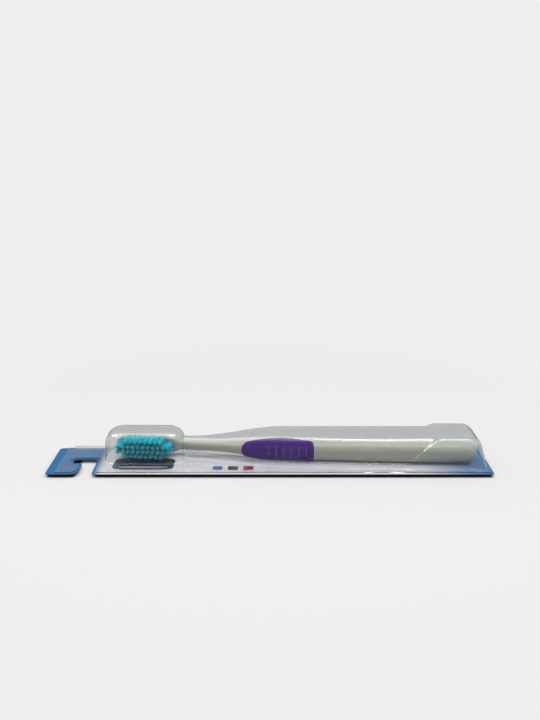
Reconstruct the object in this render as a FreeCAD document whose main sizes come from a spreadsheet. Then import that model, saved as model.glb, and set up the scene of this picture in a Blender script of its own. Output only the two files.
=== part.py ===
"""Manual toothbrush lying on its side in a clear blister on a printed backing card.

Frame, in millimetres: +Z up, +X from the hang notch towards the handle's end, and -Y the way the
bristles point. The origin is the middle of the card's underside.
"""

import FreeCAD, Part
import math
import os
import re
import Sketcher

OUT_FOLDER = "parts"

# Driving dimensions: name, value in millimetres unless the note says otherwise, note.
# A value with an equals sign follows from the others.
SIZES = [
    ("card_width", 36.0, "backing card, front edge to back edge"),
    ("card_thickness", 0.5, "board of the card"),
    ("card_round", 2.2, "radius of the card's outer corners"),
    ("notch_mouth_at", 16.4, "hook end of the card to the mouth of the hang notch"),
    ("notch_mouth_width", 7.4, "mouth of the hang notch along the front edge"),
    ("notch_reach", 19.6, "front edge of the card to the inner side of the notch"),
    ("notch_pocket_length", 5.2, "pocket that the peg sits in, beyond the mouth"),
    ("notch_pocket_width", 5.2, "pocket across"),
    ("notch_round", 2.3, "radius in the notch's inner corners"),
    ("finger_tip_round", 1.6, "radius where the pocket meets the mouth"),
    ("finger_heel_round", 4.2, "radius of the hook's finger at the front edge"),
    ("sheet_thickness", 0.35, "clear sheet of the blister"),
    ("flange_hook_margin", 4.4, "flange inside the card at the hook end"),
    ("flange_tail_margin", 1.2, "flange inside the card at the handle end"),
    ("flange_front_margin", 1.6, "flange inside the card along the front edge"),
    ("flange_back_margin", 0.3, "flange inside the card along the back edge"),
    ("flange_round", 1.8, "radius of the flange's corners"),
    ("flange_notch_gap", 1.4, "flange kept clear of the hang notch"),
    ("lip_height", 1.1, "upturned lip along the back of the flange"),
    ("brush_length", 192.0, "toothbrush, tip of the head to the end of the handle"),
    ("brush_tip_at", 32.0, "hook end of the card to the tip of the head"),
    ("card_tail_margin", 6.0, "end of the handle to the card's far end"),
    ("card_length", "=brush_tip_at + brush_length + card_tail_margin", "backing card, end to end"),
    ("brush_gap", 0.4, "card to the lowest edge of the head"),
    ("head_width", 11.2, "head plate, edge to edge"),
    ("head_depth", 4.4, "head plate, back to bristle face"),
    ("head_tip_length", 10.0, "elliptical tip of the head"),
    ("head_edge_round", 1.3, "rounding of the head's rims"),
    ("head_length", 26.0, "tip of the head to where it narrows to the neck"),
    ("head_tilt", 6.5, "head and neck leaning back from the card's length, in degrees"),
    ("neck_root_gap", 1.75, "last tuft's hole to the shank's start, inside the head"),
    ("neck_at", 38.0, "tip of the head to the narrowest neck"),
    ("neck_width", 4.9, "neck across"),
    ("neck_depth", 5.0, "neck front to back"),
    ("neck_set_back", 8.5, "middle of the neck behind the card's middle line"),
    ("throat_at", 62.0, "tip of the head to the throat, where the neck bends forward"),
    ("throat_width", 6.1, "throat across"),
    ("throat_depth", 6.8, "throat front to back"),
    ("throat_set_back", 5.3, "middle of the throat behind the card's middle line"),
    ("shoulder_at", 75.5, "tip of the head to the shoulder under the grip's nose"),
    ("shoulder_width", 7.8, "shoulder across"),
    ("shoulder_depth", 8.4, "shoulder front to back"),
    ("shoulder_set_back", 3.0, "middle of the shoulder behind the card's middle line"),
    ("palm_at", 107.0, "tip of the head to the palm, behind the grip"),
    ("palm_width", 10.1, "palm across"),
    ("palm_depth", 10.6, "palm front to back"),
    ("palm_set_back", 1.0, "middle of the palm behind the card's middle line"),
    ("belly_at", 151.0, "tip of the head to the widest part of the handle"),
    ("belly_width", 11.0, "belly across"),
    ("belly_depth", 10.8, "belly front to back"),
    ("belly_set_forward", 1.1, "middle of the belly before the card's middle line"),
    ("tail_width", 10.2, "end of the handle across"),
    ("tail_depth", 9.2, "end of the handle front to back"),
    ("tail_set_forward", 2.4, "middle of the tail before the card's middle line"),
    ("tail_round", 6.0, "rounded length of the handle's end"),
    ("grip_at", 68.4, "tip of the head to the nose of the grip"),
    ("grip_length", 38.0, "grip, nose to its blunt end"),
    ("grip_nose_length", 14.0, "nose of the grip, until it reaches its back edge"),
    ("grip_nose_depth", 0.9, "blunt tip of the nose below the handle's front"),
    ("grip_back", 2.8, "grip's back edge behind the middle of the palm"),
    ("grip_end_slope", 3.4, "blunt end leaning in towards the back edge"),
    ("grip_end_front", 2.0, "where that lean starts, before the middle of the palm"),
    ("grip_corner_round", 2.4, "radius of the corners of the grip's outline"),
    ("grip_proud", 0.7, "grip standing above the handle"),
    ("grip_sunk", 1.1, "grip sunk into the handle"),
    ("grip_dish_depth", 0.5, "shallow dish for the thumb"),
    ("grip_dish_length", 30.0, "dish along the grip, from its blunt end"),
    ("rib_count", 6, "cross ribs in the dish, a count"),
    ("rib_pitch", 3.85, "rib to rib"),
    ("rib_radius", 0.7, "round back of a rib"),
    ("rib_height", 0.3, "rib standing above the dish's floor"),
    ("rib_last_from_end", 4.2, "last rib to the grip's blunt end"),
    ("rib_width", 7.6, "rib across the grip"),
    ("tuft_pitch", 2.7, "tuft to tuft along a row"),
    ("tuft_row_pitch", 2.7, "row to row"),
    ("tuft_first_at", 3.4, "tip of the head to the middle rows' first tufts"),
    ("tuft_hole_radius", 0.85, "blind hole of a tuft"),
    ("tuft_hole_depth", 3.0, "blind hole below the bristle face"),
    ("tuft_clearance", 0.03, "tuft inside its hole, all round"),
    ("tuft_length", 9.4, "tuft above the bristle face"),
    ("tuft_flare", 0.22, "tuft spreading between its hole and its tip"),
    ("tuft_tip_length", 0.9, "trimmed round end of a tuft"),
    ("tuft_tip_radius", 0.6, "flat end of a tuft"),
    ("toe_rise", 0.7, "tufts at the toe longer than the middle ones"),
    ("anchor_width", 2.0, "anchor blade, cutting into both sides of its hole"),
    ("anchor_thickness", 0.3, "anchor blade"),
    ("anchor_height", 1.3, "anchor blade"),
    ("anchor_fold", 0.35, "filaments folded under the anchor"),
    ("anchor_gap", 0.02, "filaments clear of the anchor"),
    ("dome_hook_at", 27.6, "hook end of the card to the dome over the head"),
    ("dome_length", 42.0, "dome over the head"),
    ("dome_front", 5.6, "dome's foot before the card's middle line"),
    ("dome_back", 16.9, "dome's foot behind the card's middle line"),
    ("dome_height", 16.0, "dome above the card"),
    ("dome_draft", 0.9, "each dome wall leaning in, over its height"),
    ("dome_round", 6.4, "radius of the dome's upright corners"),
    ("dome_top_round", 5.4, "radius round the dome's top"),
    ("cover_draft", 0.9, "back wall of the handle's cover leaning in"),
    ("cover_front_draft", 2.6, "front wall of the handle's cover leaning in"),
    ("cover_round", 2.8, "radius along the top of the handle's cover"),
    ("cover_start_at", 52.0, "hook end of the card to the cover's start, inside the dome"),
    ("cover_neck_at", 74.0, "hook end of the card to the cover's narrowest place"),
    ("cover_neck_front", 2.4, "cover's front foot behind the middle line, at the neck"),
    ("cover_neck_back", 13.2, "cover's back foot behind the middle line, at the neck"),
    ("cover_neck_height", 10.6, "cover above the card, at the neck"),
    ("cover_rise_at", 91.0, "hook end of the card to where the cover starts to rise"),
    ("cover_rise_front", 1.6, "cover's front foot before the middle line, at the rise"),
    ("cover_grip_at", 122.0, "hook end of the card to the cover's full height"),
    ("cover_grip_front", 8.2, "cover's front foot before the middle line, at the grip"),
    ("cover_height", 14.9, "cover above the card, along the handle"),
    ("cover_back", 16.4, "cover's back foot behind the middle line"),
    ("cover_belly_margin", 6.0, "cover's foremost place before the block's near foot"),
    ("cover_belly_front", 11.6, "cover's front foot before the middle line, there"),
    ("cover_into_block", 25.0, "cover running on inside the end block"),
    ("cover_end_front", 11.2, "cover's front foot before the middle line, at its end"),
    ("block_length", 39.4, "raised end block, foot to foot"),
    ("block_end_margin", 1.6, "block's far foot inside the card's end"),
    ("block_near_slope", 12.5, "near side of the block leaning in"),
    ("block_far_slope", 4.6, "far side of the block leaning in"),
    ("block_front", 12.6, "block's foot before the middle line"),
    ("block_back", 16.9, "block's foot behind the middle line"),
    ("block_draft", 1.3, "front and back of the block leaning in"),
    ("block_height", 16.1, "block above the card"),
    ("block_round", 2.2, "radius of the block's edges"),
    ("block_end_round", 5.0, "radius of the block's far edges"),
]

# Rows of tufts, from the bottom edge of the head to the top: the row's place in steps of the row pitch,
# how many tufts it has, and where it starts in steps of the tuft pitch
TUFT_ROWS = [(-1.5, 8, 1.5), (-0.5, 11, 0.0), (0.5, 11, 0.0), (1.5, 8, 1.5)]
TOE_TUFTS = 2

document = FreeCAD.newDocument("toothbrush_in_blister")
sheet = document.addObject("Spreadsheet::Sheet", "Sizes")
for row, (alias, value, note) in enumerate(SIZES, start=1):
    sheet.set(f"A{row}", alias)
    sheet.set(f"B{row}", str(value))
    sheet.setAlias(f"B{row}", alias)
    sheet.set(f"C{row}", note)
document.recompute()
ALIASES = {alias for alias, _, _ in SIZES}


def size(alias):
    """A driving dimension, read from the sheet."""
    return float(sheet.get(alias))


def bind(thing, **expressions):
    """Ties properties to cells. A double underscore in a name stands for a dot in the property's path."""
    for name, expression in expressions.items():
        named = re.sub(r"[a-z_]+", lambda m: f"Sizes.{m[0]}" if m[0] in ALIASES else m[0], expression)
        thing.setExpression(name.replace("__", "."), named)
    return thing


def add(kind, name):
    """A new object of the document, labelled with its name."""
    thing = document.addObject(kind, name)
    thing.Label = name
    return thing


def feature(name, shape):
    """A sculpted solid that Part's own functions make from the sheet's sizes."""
    thing = add("Part::Feature", name)
    thing.Shape = shape
    return thing


def cut(name, base, tool):
    """What is left of base after tool is taken away."""
    thing = add("Part::Cut", name)
    thing.Base = base
    thing.Tool = tool
    return thing


def common(name, base, tool):
    """What base and tool share."""
    thing = add("Part::Common", name)
    thing.Base = base
    thing.Tool = tool
    return thing


def fuse(name, shapes):
    """Several objects as one solid."""
    thing = add("Part::MultiFuse", name)
    thing.Shapes = shapes
    return thing


def compound(name, shapes):
    """Several objects kept apart in one node."""
    thing = add("Part::Compound", name)
    thing.Links = shapes
    return thing


def fillet(name, base, radius, wanted):
    """Rounds those edges of base that wanted picks."""
    document.recompute()
    thing = add("Part::Fillet", name)
    thing.Base = base
    picked = [n for n, edge in enumerate(base.Shape.Edges, start=1) if wanted(edge)]
    thing.Edges = [(n, radius, radius) for n in picked]
    return thing


def middle(edge):
    """Halfway point between an edge's ends."""
    return (edge.firstVertex().Point + edge.lastVertex().Point) * 0.5


def rise(edge):
    """How far an edge climbs between its ends."""
    return abs(edge.lastVertex().Point.z - edge.firstVertex().Point.z)


# Outlines and plates
def outline(body, name, role, corners, ties, offset):
    """A closed straight sketch on one of a body's origin planes.

    corners are the starting positions, ties are (kind, corner, expression) measured from the sketch's
    origin, and offset binds the sketch's place on the plane.
    """
    sketch = body.newObject("Sketcher::SketchObject", name)
    support = next(f for f in body.Origin.OriginFeatures if f.Role == role)
    sketch.AttachmentSupport = [(support, "")]
    sketch.MapMode = "FlatFace"
    bind(sketch, **{f"AttachmentOffset__Base__{axis}": tie for axis, tie in offset.items()})
    points = [FreeCAD.Vector(x, y, 0) for x, y in corners]
    count = len(points)
    for n in range(count):
        sketch.addGeometry(Part.LineSegment(points[n], points[(n + 1) % count]), False)
    for n in range(count):
        here, there = points[n], points[(n + 1) % count]
        sketch.addConstraint(Sketcher.Constraint("Coincident", n, 2, (n + 1) % count, 1))
        if abs(here.y - there.y) < 1e-9:
            sketch.addConstraint(Sketcher.Constraint("Horizontal", n))
        if abs(here.x - there.x) < 1e-9:
            sketch.addConstraint(Sketcher.Constraint("Vertical", n))
    for kind, corner, tie in ties:
        if kind == "on_x":
            sketch.addConstraint(Sketcher.Constraint("PointOnObject", corner, 1, -1))
            continue
        if kind == "on_y":
            sketch.addConstraint(Sketcher.Constraint("PointOnObject", corner, 1, -2))
            continue
        value = points[corner].x if kind == "DistanceX" else points[corner].y
        index = sketch.addConstraint(Sketcher.Constraint(kind, -1, 1, corner, 1, value))
        label = f"{kind.lower()}_{corner}"
        sketch.renameConstraint(index, label)
        bind(sketch, **{f"Constraints__{label}": tie})
    return sketch


def pad(body, name, sketch, length):
    """Extrudes a sketch along its plane's normal."""
    thing = body.newObject("PartDesign::Pad", name)
    thing.Profile = sketch
    bind(thing, Length=length)
    return thing


def plate(name, left, right, front, back, foot, thickness, notch_gap, roundings):
    """A sheet with the hang notch cut in from its front edge, as a body.

    left, right, front and back are the margins inside the card, foot is the height of its underside,
    notch_gap widens the notch, and roundings are (radius, corners) with each corner as a point in plan.
    """
    body = add("PartDesign::Body", name)
    across = f"card_length - ({left}) - ({right})"
    deep = f"card_width - ({front}) - ({back})"
    corners = [(0, 0), (100, 0), (100, 30), (0, 30)]
    ties = [("on_x", 0, ""), ("on_y", 0, ""), ("DistanceX", 2, across), ("DistanceY", 2, deep)]
    offset = {"x": f"({left}) - card_length / 2", "y": f"({front}) - card_width / 2", "z": foot}
    sheet_outline = outline(body, f"{name}_outline", "XY_Plane", corners, ties, offset)
    pad(body, f"{name}_board", sheet_outline, thickness)

    gap = notch_gap
    mouth_near = f"notch_mouth_at - ({gap})"
    mouth_far = f"notch_mouth_at + notch_mouth_width + ({gap})"
    pocket_end = f"notch_mouth_at - notch_pocket_length - ({gap})"
    pocket_front = f"1 + notch_reach - notch_pocket_width - ({gap})"
    pocket_back = f"1 + notch_reach + ({gap})"
    corners = [(18, 0), (18, 15), (11, 15), (11, 20), (24, 20), (24, 0)]
    ties = [
        ("on_x", 0, ""),
        ("DistanceX", 0, mouth_near),
        ("DistanceY", 1, pocket_front),
        ("DistanceX", 2, pocket_end),
        ("DistanceY", 3, pocket_back),
        ("DistanceX", 4, mouth_far),
    ]
    offset = {"x": "- card_length / 2", "y": "- card_width / 2 - 1", "z": f"({foot}) + ({thickness}) + 1"}
    notch = body.newObject("PartDesign::Pocket", f"{name}_notch")
    notch.Profile = outline(body, f"{name}_notch_outline", "XY_Plane", corners, ties, offset)
    bind(notch, Length=f"({thickness}) + 2")
    document.recompute()

    last = notch
    for n, (radius, points) in enumerate(roundings, start=1):
        names = []
        for index, edge in enumerate(last.Shape.Edges, start=1):
            spot = middle(edge)
            upright = rise(edge) > size("sheet_thickness") * 0.5
            if upright and any(math.hypot(spot.x - x, spot.y - y) < 0.05 for x, y in points):
                names.append(f"Edge{index}")
        rounding = body.newObject("PartDesign::Fillet", f"{name}_rounding_{n}")
        rounding.Base = (last, names)
        bind(rounding, Radius=radius)
        body.Tip = rounding
        document.recompute()
        last = rounding
    return body


def notch_points(gap):
    """The notch's corners in plan: the pocket's, the finger's tip and heel, and the mouth's far one."""
    left = -size("card_length") / 2
    front = -size("card_width") / 2
    near = left + size("notch_mouth_at") - gap
    far = left + size("notch_mouth_at") + size("notch_mouth_width") + gap
    end = near - size("notch_pocket_length")
    inner = front + size("notch_reach") + gap
    outer = front + size("notch_reach") - size("notch_pocket_width") - gap
    return {
        "pocket": [(end, inner), (end, outer), (far, inner)],
        "finger_tip": [(near, outer)],
        "finger_heel": [(near, front)],
        "mouth_far": [(far, front)],
    }


def box_corners(left, right, front, back):
    """Four corners in plan of a plate with these margins inside the card."""
    x = size("card_length") / 2
    y = size("card_width") / 2
    return [(sx, sy) for sx in (left - x, x - right) for sy in (front - y, y - back)]


spots = notch_points(0.0)
backing_card = plate(
    "backing_card", "0", "0", "0", "0", "0", "card_thickness", "0",
    [
        ("card_round", box_corners(0, 0, 0, 0) + spots["mouth_far"]),
        ("notch_round", spots["pocket"]),
        ("finger_tip_round", spots["finger_tip"]),
        ("finger_heel_round", spots["finger_heel"]),
    ],
)


# Smooth curves through named stations
def smooth(stations, first_lean=0.0):
    """A function through (place, value) stations that never overshoots and stays level beyond the ends."""
    at = [place for place, _ in stations]
    values = [value for _, value in stations]
    rises = [(b - a) / (q - p) for p, q, a, b in zip(at, at[1:], values, values[1:])]
    leans = [first_lean]
    for before, after in zip(rises, rises[1:]):
        leans.append(2 * before * after / (before + after) if before * after > 0 else 0.0)
    leans.append(0.0)

    def value(x):
        if x <= at[0]:
            return values[0]
        for n in range(len(at) - 1):
            if x <= at[n + 1]:
                step = at[n + 1] - at[n]
                t = (x - at[n]) / step
                start = (1 + 2 * t) * (1 - t) ** 2 * values[n] + t * (1 - t) ** 2 * step * leans[n]
                end = t * t * (3 - 2 * t) * values[n + 1] + t * t * (t - 1) * step * leans[n + 1]
                return start + end
        return values[-1]

    return value


def rounded_wire(x, corners, radii):
    """A closed outline across the X axis, with a corner of radius 0 left sharp."""
    points = [FreeCAD.Vector(x, y, z) for y, z in corners]
    count = len(points)
    pieces = []
    for n in range(count):
        here = points[n]
        back = (points[n - 1] - here).normalize()
        ahead = (points[(n + 1) % count] - here).normalize()
        half = math.acos(max(-1.0, min(1.0, back.dot(ahead)))) / 2
        if radii[n] <= 0:
            pieces.append((here, None, here))
            continue
        reach = radii[n] / math.tan(half)
        inward = (back + ahead).normalize()
        deepest = here + inward * (radii[n] / math.sin(half) - radii[n])
        pieces.append((here + back * reach, deepest, here + ahead * reach))
    edges = []
    for n in range(count):
        start, deepest, finish = pieces[n]
        if deepest is not None:
            edges.append(Part.Arc(start, deepest, finish).toShape())
        edges.append(Part.LineSegment(finish, pieces[(n + 1) % count][0]).toShape())
    return Part.Wire(edges)


# Toothbrush handle, with s measured from the tip of the head
TIP_X = size("brush_tip_at") - size("card_length") / 2
AXIS_Z = size("card_thickness") + size("brush_gap") + size("head_width") / 2
LENGTH = size("brush_length")
TAIL = LENGTH - size("tail_round")
TILT = math.radians(size("head_tilt"))
STATIONS = ["neck", "throat", "shoulder", "palm", "belly"]
LAST_TUFT = max(start + count - 1 for _, count, start in TUFT_ROWS)
HOLES_END = size("tuft_first_at") + LAST_TUFT * size("tuft_pitch") + size("tuft_hole_radius")
NECK_ROOT = HOLES_END + size("neck_root_gap")


def set_back(station):
    """Where a station's middle lies behind the card's middle line."""
    forward = f"{station}_set_forward"
    return -size(forward) if forward in ALIASES else size(f"{station}_set_back")


def shank_curve(named, tail, first):
    """A size along the shank: its value at the root inside the head, at each station, then at the tail."""
    knots = [(NECK_ROOT, first)]
    knots += [(size(f"{station}_at"), named(station)) for station in STATIONS]
    return smooth(knots + [(TAIL, tail)])


shank_width = shank_curve(lambda s: size(f"{s}_width"), size("tail_width"), size("neck_width"))
shank_depth = shank_curve(lambda s: size(f"{s}_depth"), size("tail_depth"), 0.75 * size("head_depth"))
shank_corner = shank_curve(lambda s: 0.46 if s in ("neck", "throat") else 0.41, 0.41, 0.46)
middle_knots = [(size(f"{station}_at"), set_back(station)) for station in STATIONS]
middle_knots.append((TAIL, -size("tail_set_forward")))
shank_middle = smooth(middle_knots, first_lean=-math.tan(TILT))


def brush_middle(s):
    """Middle of the brush behind the card's middle line: a straight leaning head, then the bent shank."""
    if s < size("neck_at"):
        return size("neck_set_back") + (size("neck_at") - s) * math.tan(TILT)
    return shank_middle(s)


def shank_section(s, grow, dish_here=0.0):
    """Outline of the shank at s, grown all round, with the front face lowered by a dish."""
    from_end = LENGTH - s
    tail = 1.0 if s <= TAIL else math.sqrt(1 - (1 - from_end / size("tail_round")) ** 2)
    width = shank_width(s) * tail + 2 * grow
    depth = shank_depth(s) * tail + 2 * grow
    front = brush_middle(s) - depth / 2 + dish_here
    back = brush_middle(s) + depth / 2
    low = AXIS_Z - width / 2
    high = AXIS_Z + width / 2
    radius = min(width, depth - dish_here) * shank_corner(s)
    return rounded_wire(TIP_X + s, [(front, low), (back, low), (back, high), (front, high)], [radius] * 4)


def spaced(first, last, step):
    """Evenly spaced places from first to last, about a step apart."""
    count = max(2, round((last - first) / step))
    return [first + (last - first) * n / count for n in range(count + 1)]


def head_outline():
    """The head from the front, in its own frame: an elliptical tip, straight sides and a drawn-in heel."""
    tip = size("head_tip_length")
    half = size("head_width") / 2
    heel = size("head_length")
    end = size("neck_at") + 2
    thin = 0.4 * size("neck_width")
    ellipse = Part.Ellipse(FreeCAD.Vector(tip, 0, 0), tip, half)
    start = math.pi / 2
    edges = [Part.ArcOfEllipse(ellipse, start, 3 * start).toShape()]
    for side in (-1, 1):
        corner = FreeCAD.Vector(tip, side * half, 0)
        edges.append(Part.LineSegment(corner, FreeCAD.Vector(heel, side * half, 0)).toShape())
        curve = Part.BezierCurve()
        reach = (end - heel) * 0.38
        curve.setPoles([
            FreeCAD.Vector(heel, side * half, 0),
            FreeCAD.Vector(heel + reach, side * half, 0),
            FreeCAD.Vector(end - 1.5 * reach, side * thin, 0),
            FreeCAD.Vector(end, side * thin, 0),
        ])
        edges.append(curve.toShape())
    corner = FreeCAD.Vector(end, -thin, 0)
    edges.append(Part.LineSegment(corner, FreeCAD.Vector(end, thin, 0)).toShape())
    return Part.Wire(Part.__sortEdges__(edges))


# The head's own frame: x runs from its tip to the neck and z out of the bristle face
FORWARD = FreeCAD.Rotation(FreeCAD.Vector(0, 0, 1), -size("head_tilt")).multiply(
    FreeCAD.Rotation(FreeCAD.Vector(1, 0, 0), 90)
)
NECK_POINT = FreeCAD.Vector(TIP_X + size("neck_at"), size("neck_set_back"), AXIS_Z)


def seat(s, across, out, x=0.0):
    """A place in the head's frame: s from the tip plus x, across, and out from the middle of its depth."""
    spot = FreeCAD.Vector(s + x - size("neck_at"), across, out)
    return FreeCAD.Placement(NECK_POINT + FORWARD.multVec(spot), FORWARD)


head_sketch = feature("head_sketch", head_outline())
head_sketch.Placement = seat(0.0, 0.0, -size("head_depth") / 2)
head_board = add("Part::Extrusion", "head_board")
head_board.Base = head_sketch
head_board.DirMode = "Custom"
head_board.Dir = FORWARD.multVec(FreeCAD.Vector(0, 0, 1))
head_board.Solid = True
bind(head_board, LengthFwd="head_depth")


def head_rim(edge):
    """The head's front and back outlines, up to the heel's end."""
    ends = (edge.firstVertex(), edge.lastVertex())
    local = [FORWARD.inverted().multVec(v.Point - NECK_POINT) for v in ends]
    flat = abs(local[0].z - local[1].z) < 0.01
    at_end = all(point.x > 1.9 for point in local)
    return flat and not at_end


head_plate = fillet("head_plate", head_board, size("head_edge_round"), head_rim)
tail_turns = [math.radians(a) for a in range(80, 0, -9)]
tail_places = [LENGTH - size("tail_round") * (1 - math.cos(turn)) for turn in tail_turns]
shank_places = spaced(NECK_ROOT, TAIL, 4.5) + tail_places
shank = feature("shank", Part.makeLoft([shank_section(s, 0.0) for s in shank_places], True, False))


# Thumb grip: an outline seen from above, wrapped round the handle and sunk into it
grip_end = size("grip_at") + size("grip_length")
dish_start = grip_end - size("grip_dish_length")


def dish(s):
    """Depth of the thumb's dish at s, a smooth hollow between its two ends."""
    t = (s - dish_start) / size("grip_dish_length")
    return size("grip_dish_depth") * math.sin(math.pi * t) ** 2 if 0 < t < 1 else 0.0


grip_places = spaced(size("grip_at") - 2, grip_end + 2, 3.0)
grip_skin = feature(
    "grip_skin",
    Part.makeLoft([shank_section(s, size("grip_proud"), dish(s)) for s in grip_places], True, False),
)
grip_core = feature(
    "grip_core",
    Part.makeLoft([shank_section(s, -size("grip_sunk")) for s in grip_places], True, False),
)


def grip_prism():
    """The grip's outline seen from above, as an upright prism."""
    body = add("PartDesign::Body", "grip_outline")
    nose_front = brush_middle(size("grip_at")) - shank_depth(size("grip_at")) / 2
    corners = [(0, 0), (38, 0), (38, 17), (35, 22), (14, 22), (0, 20)]
    ties = [
        ("on_x", 0, ""),
        ("on_y", 0, ""),
        ("DistanceX", 1, "grip_length"),
        ("DistanceY", 2, "card_width / 2 + palm_set_back - grip_end_front"),
        ("DistanceX", 3, "grip_length - grip_end_slope"),
        ("DistanceX", 4, "grip_nose_length"),
        ("DistanceY", 4, "card_width / 2 + palm_set_back + grip_back"),
        ("DistanceY", 5, f"card_width / 2 + grip_nose_depth + {nose_front}"),
    ]
    offset = {"x": "brush_tip_at - card_length / 2 + grip_at", "y": "- card_width / 2", "z": "0"}
    pad(body, "grip_prism", outline(body, "grip_sketch", "XY_Plane", corners, ties, offset), "card_width")
    return body


def grip_corner(edge):
    """The prism's four upright edges that lie within the handle."""
    return rise(edge) > 1 and middle(edge).y > -size("card_width") / 2 + 1


grip_rounded = fillet("grip_rounded", grip_prism(), size("grip_corner_round"), grip_corner)
grip_shell = cut("grip_shell", common("grip_wrap", grip_skin, grip_rounded), grip_core)
ribs = []
for n in range(int(size("rib_count"))):
    s = grip_end - size("rib_last_from_end") - n * size("rib_pitch")
    floor = brush_middle(s) - shank_depth(s) / 2 - size("grip_proud") + dish(s)
    rib = bind(add("Part::Cylinder", f"rib_{n + 1}"), Radius="rib_radius", Height="rib_width")
    rib.Placement.Base = FreeCAD.Vector(
        TIP_X + s, floor + size("rib_radius") - size("rib_height"), AXIS_Z - size("rib_width") / 2
    )
    ribs.append(rib)
thumb_grip = fuse("thumb_grip", [grip_shell] + ribs)


# Tufts, each folded round its anchor in a blind hole
def tuft_places():
    """Name, s and place across the head of each tuft."""
    for row, (place, count, start) in enumerate(TUFT_ROWS, start=1):
        for n in range(count):
            s = size("tuft_first_at") + (start + n) * size("tuft_pitch")
            yield f"{row}_{n + 1:02d}", s, place * size("tuft_row_pitch")


tufts = []
holes = []
blades = []
face = size("head_depth") / 2
floor = face - size("tuft_hole_depth")
for tag, s, across in tuft_places():
    toe = s < size("tuft_first_at") + TOE_TUFTS * size("tuft_pitch") - 0.1
    extra = size("toe_rise") if toe else 0.0
    extra_tie = "toe_rise" if toe else "0"

    hole = add("Part::Cylinder", f"hole_{tag}")
    bind(hole, Radius="tuft_hole_radius", Height="tuft_hole_depth + 1")
    hole.Placement = seat(s, across, floor)
    holes.append(hole)

    root = bind(
        add("Part::Cylinder", f"root_{tag}"),
        Radius="tuft_hole_radius - tuft_clearance",
        Height="tuft_hole_depth - tuft_clearance",
    )
    root.Placement = seat(s, across, floor + size("tuft_clearance"))
    stalk = bind(
        add("Part::Cone", f"stalk_{tag}"),
        Radius1="tuft_hole_radius - tuft_clearance",
        Radius2="tuft_hole_radius - tuft_clearance + tuft_flare",
        Height=f"tuft_length + {extra_tie} - tuft_tip_length",
    )
    stalk.Placement = seat(s, across, face)
    tip = bind(
        add("Part::Cone", f"tip_{tag}"),
        Radius1="tuft_hole_radius - tuft_clearance + tuft_flare",
        Radius2="tuft_tip_radius",
        Height="tuft_tip_length",
    )
    tip.Placement = seat(s, across, face + size("tuft_length") + extra - size("tuft_tip_length"))

    blade = bind(
        add("Part::Box", f"blade_{tag}"),
        Length="anchor_width",
        Width="anchor_thickness",
        Height="anchor_height",
    )
    half_width = size("anchor_width") / 2
    half_thickness = size("anchor_thickness") / 2
    gap = size("anchor_gap")
    blade.Placement = seat(s, across - half_thickness, floor + size("anchor_fold"), -half_width)
    blades.append(blade)
    window = bind(
        add("Part::Box", f"window_{tag}"),
        Length="anchor_width + 2 * anchor_gap",
        Width="anchor_thickness + 2 * anchor_gap",
        Height="anchor_height + 2 * anchor_gap",
    )
    window.Placement = seat(
        s, across - half_thickness - gap, floor + size("anchor_fold") - gap, -half_width - gap
    )
    tufts.append(cut(f"bristle_tuft_{tag}", fuse(f"bundle_{tag}", [root, stalk, tip]), window))

tuft_anchors = compound("tuft_anchors", blades)
head_drilled = cut("head_drilled", head_plate, compound("tuft_holes", holes))
shank_recessed = cut("shank_recessed", shank, grip_shell)
handle = fuse("handle", [head_drilled, shank_recessed])


# Blister: dome, handle's cover and end block, each an outer form less an inner one a sheet inside it
UPRIGHT = FreeCAD.Rotation(FreeCAD.Vector(1, 0, 0), 90)
BLOCK_AT = size("card_length") - size("block_end_margin") - size("block_length")
COVER_END = BLOCK_AT + size("cover_into_block")


def frustum(name, inset, left, right, near_lean, far_lean, front, back, side_lean, height):
    """A block on the card with leaning sides, drawn in by inset.

    The inner form starts a little below the card's top.
    """
    foot = "card_thickness" if inset == "0" else "card_thickness - sheet_thickness"
    thing = add("Part::Wedge", name)
    thing.Placement = FreeCAD.Placement(FreeCAD.Vector(0, 0, 0), UPRIGHT)
    return bind(
        thing,
        Xmin=f"{left} + ({inset}) - card_length / 2",
        Xmax=f"{right} - ({inset}) - card_length / 2",
        X2min=f"{left} + ({inset}) + ({near_lean}) - card_length / 2",
        X2max=f"{right} - ({inset}) - ({far_lean}) - card_length / 2",
        Ymin=foot,
        Ymax=f"card_thickness + {height} - ({inset})",
        Zmin=f"({inset}) - {back}",
        Zmax=f"{front} - ({inset})",
        Z2min=f"({inset}) + {side_lean} - {back}",
        Z2max=f"{front} - ({inset}) - {side_lean}",
    )


def upright_edge(edge):
    """An edge that climbs most of a block's height."""
    return rise(edge) > 5


def top_edge(edge):
    """An edge round the top of a block."""
    top = max(size("dome_height"), size("block_height")) + size("card_thickness")
    return rise(edge) < 0.01 and middle(edge).z > top * 0.8


def far_edge(edge):
    """The block's edge at the top of its far side, and the two uprights there."""
    far = size("card_length") / 2 - size("block_end_margin") - size("block_far_slope")
    beyond = middle(edge).x > far - size("sheet_thickness") - 1
    return beyond and middle(edge).z > size("block_height") / 3


def near_edge(edge):
    """The block's other edges above its foot."""
    return middle(edge).z > size("block_height") / 3 and not far_edge(edge)


def cover_section(x, inset):
    """Outline of the handle's cover at a distance from the hook end, drawn in by inset."""
    foot = size("card_thickness") - (size("sheet_thickness") if inset else 0.0)
    front = cover_front(x) + inset
    back = cover_back(x) - inset
    top = size("card_thickness") + cover_height(x) - inset
    back_top = back - size("cover_draft")
    front_top = front + size("cover_front_draft") * cover_height(x) / size("cover_height")
    corners = [(front, foot), (back, foot), (back_top, top), (front_top, top)]
    radius = size("cover_round") - inset
    return rounded_wire(x - size("card_length") / 2, corners, [0.0, 0.0, radius, radius])


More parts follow.
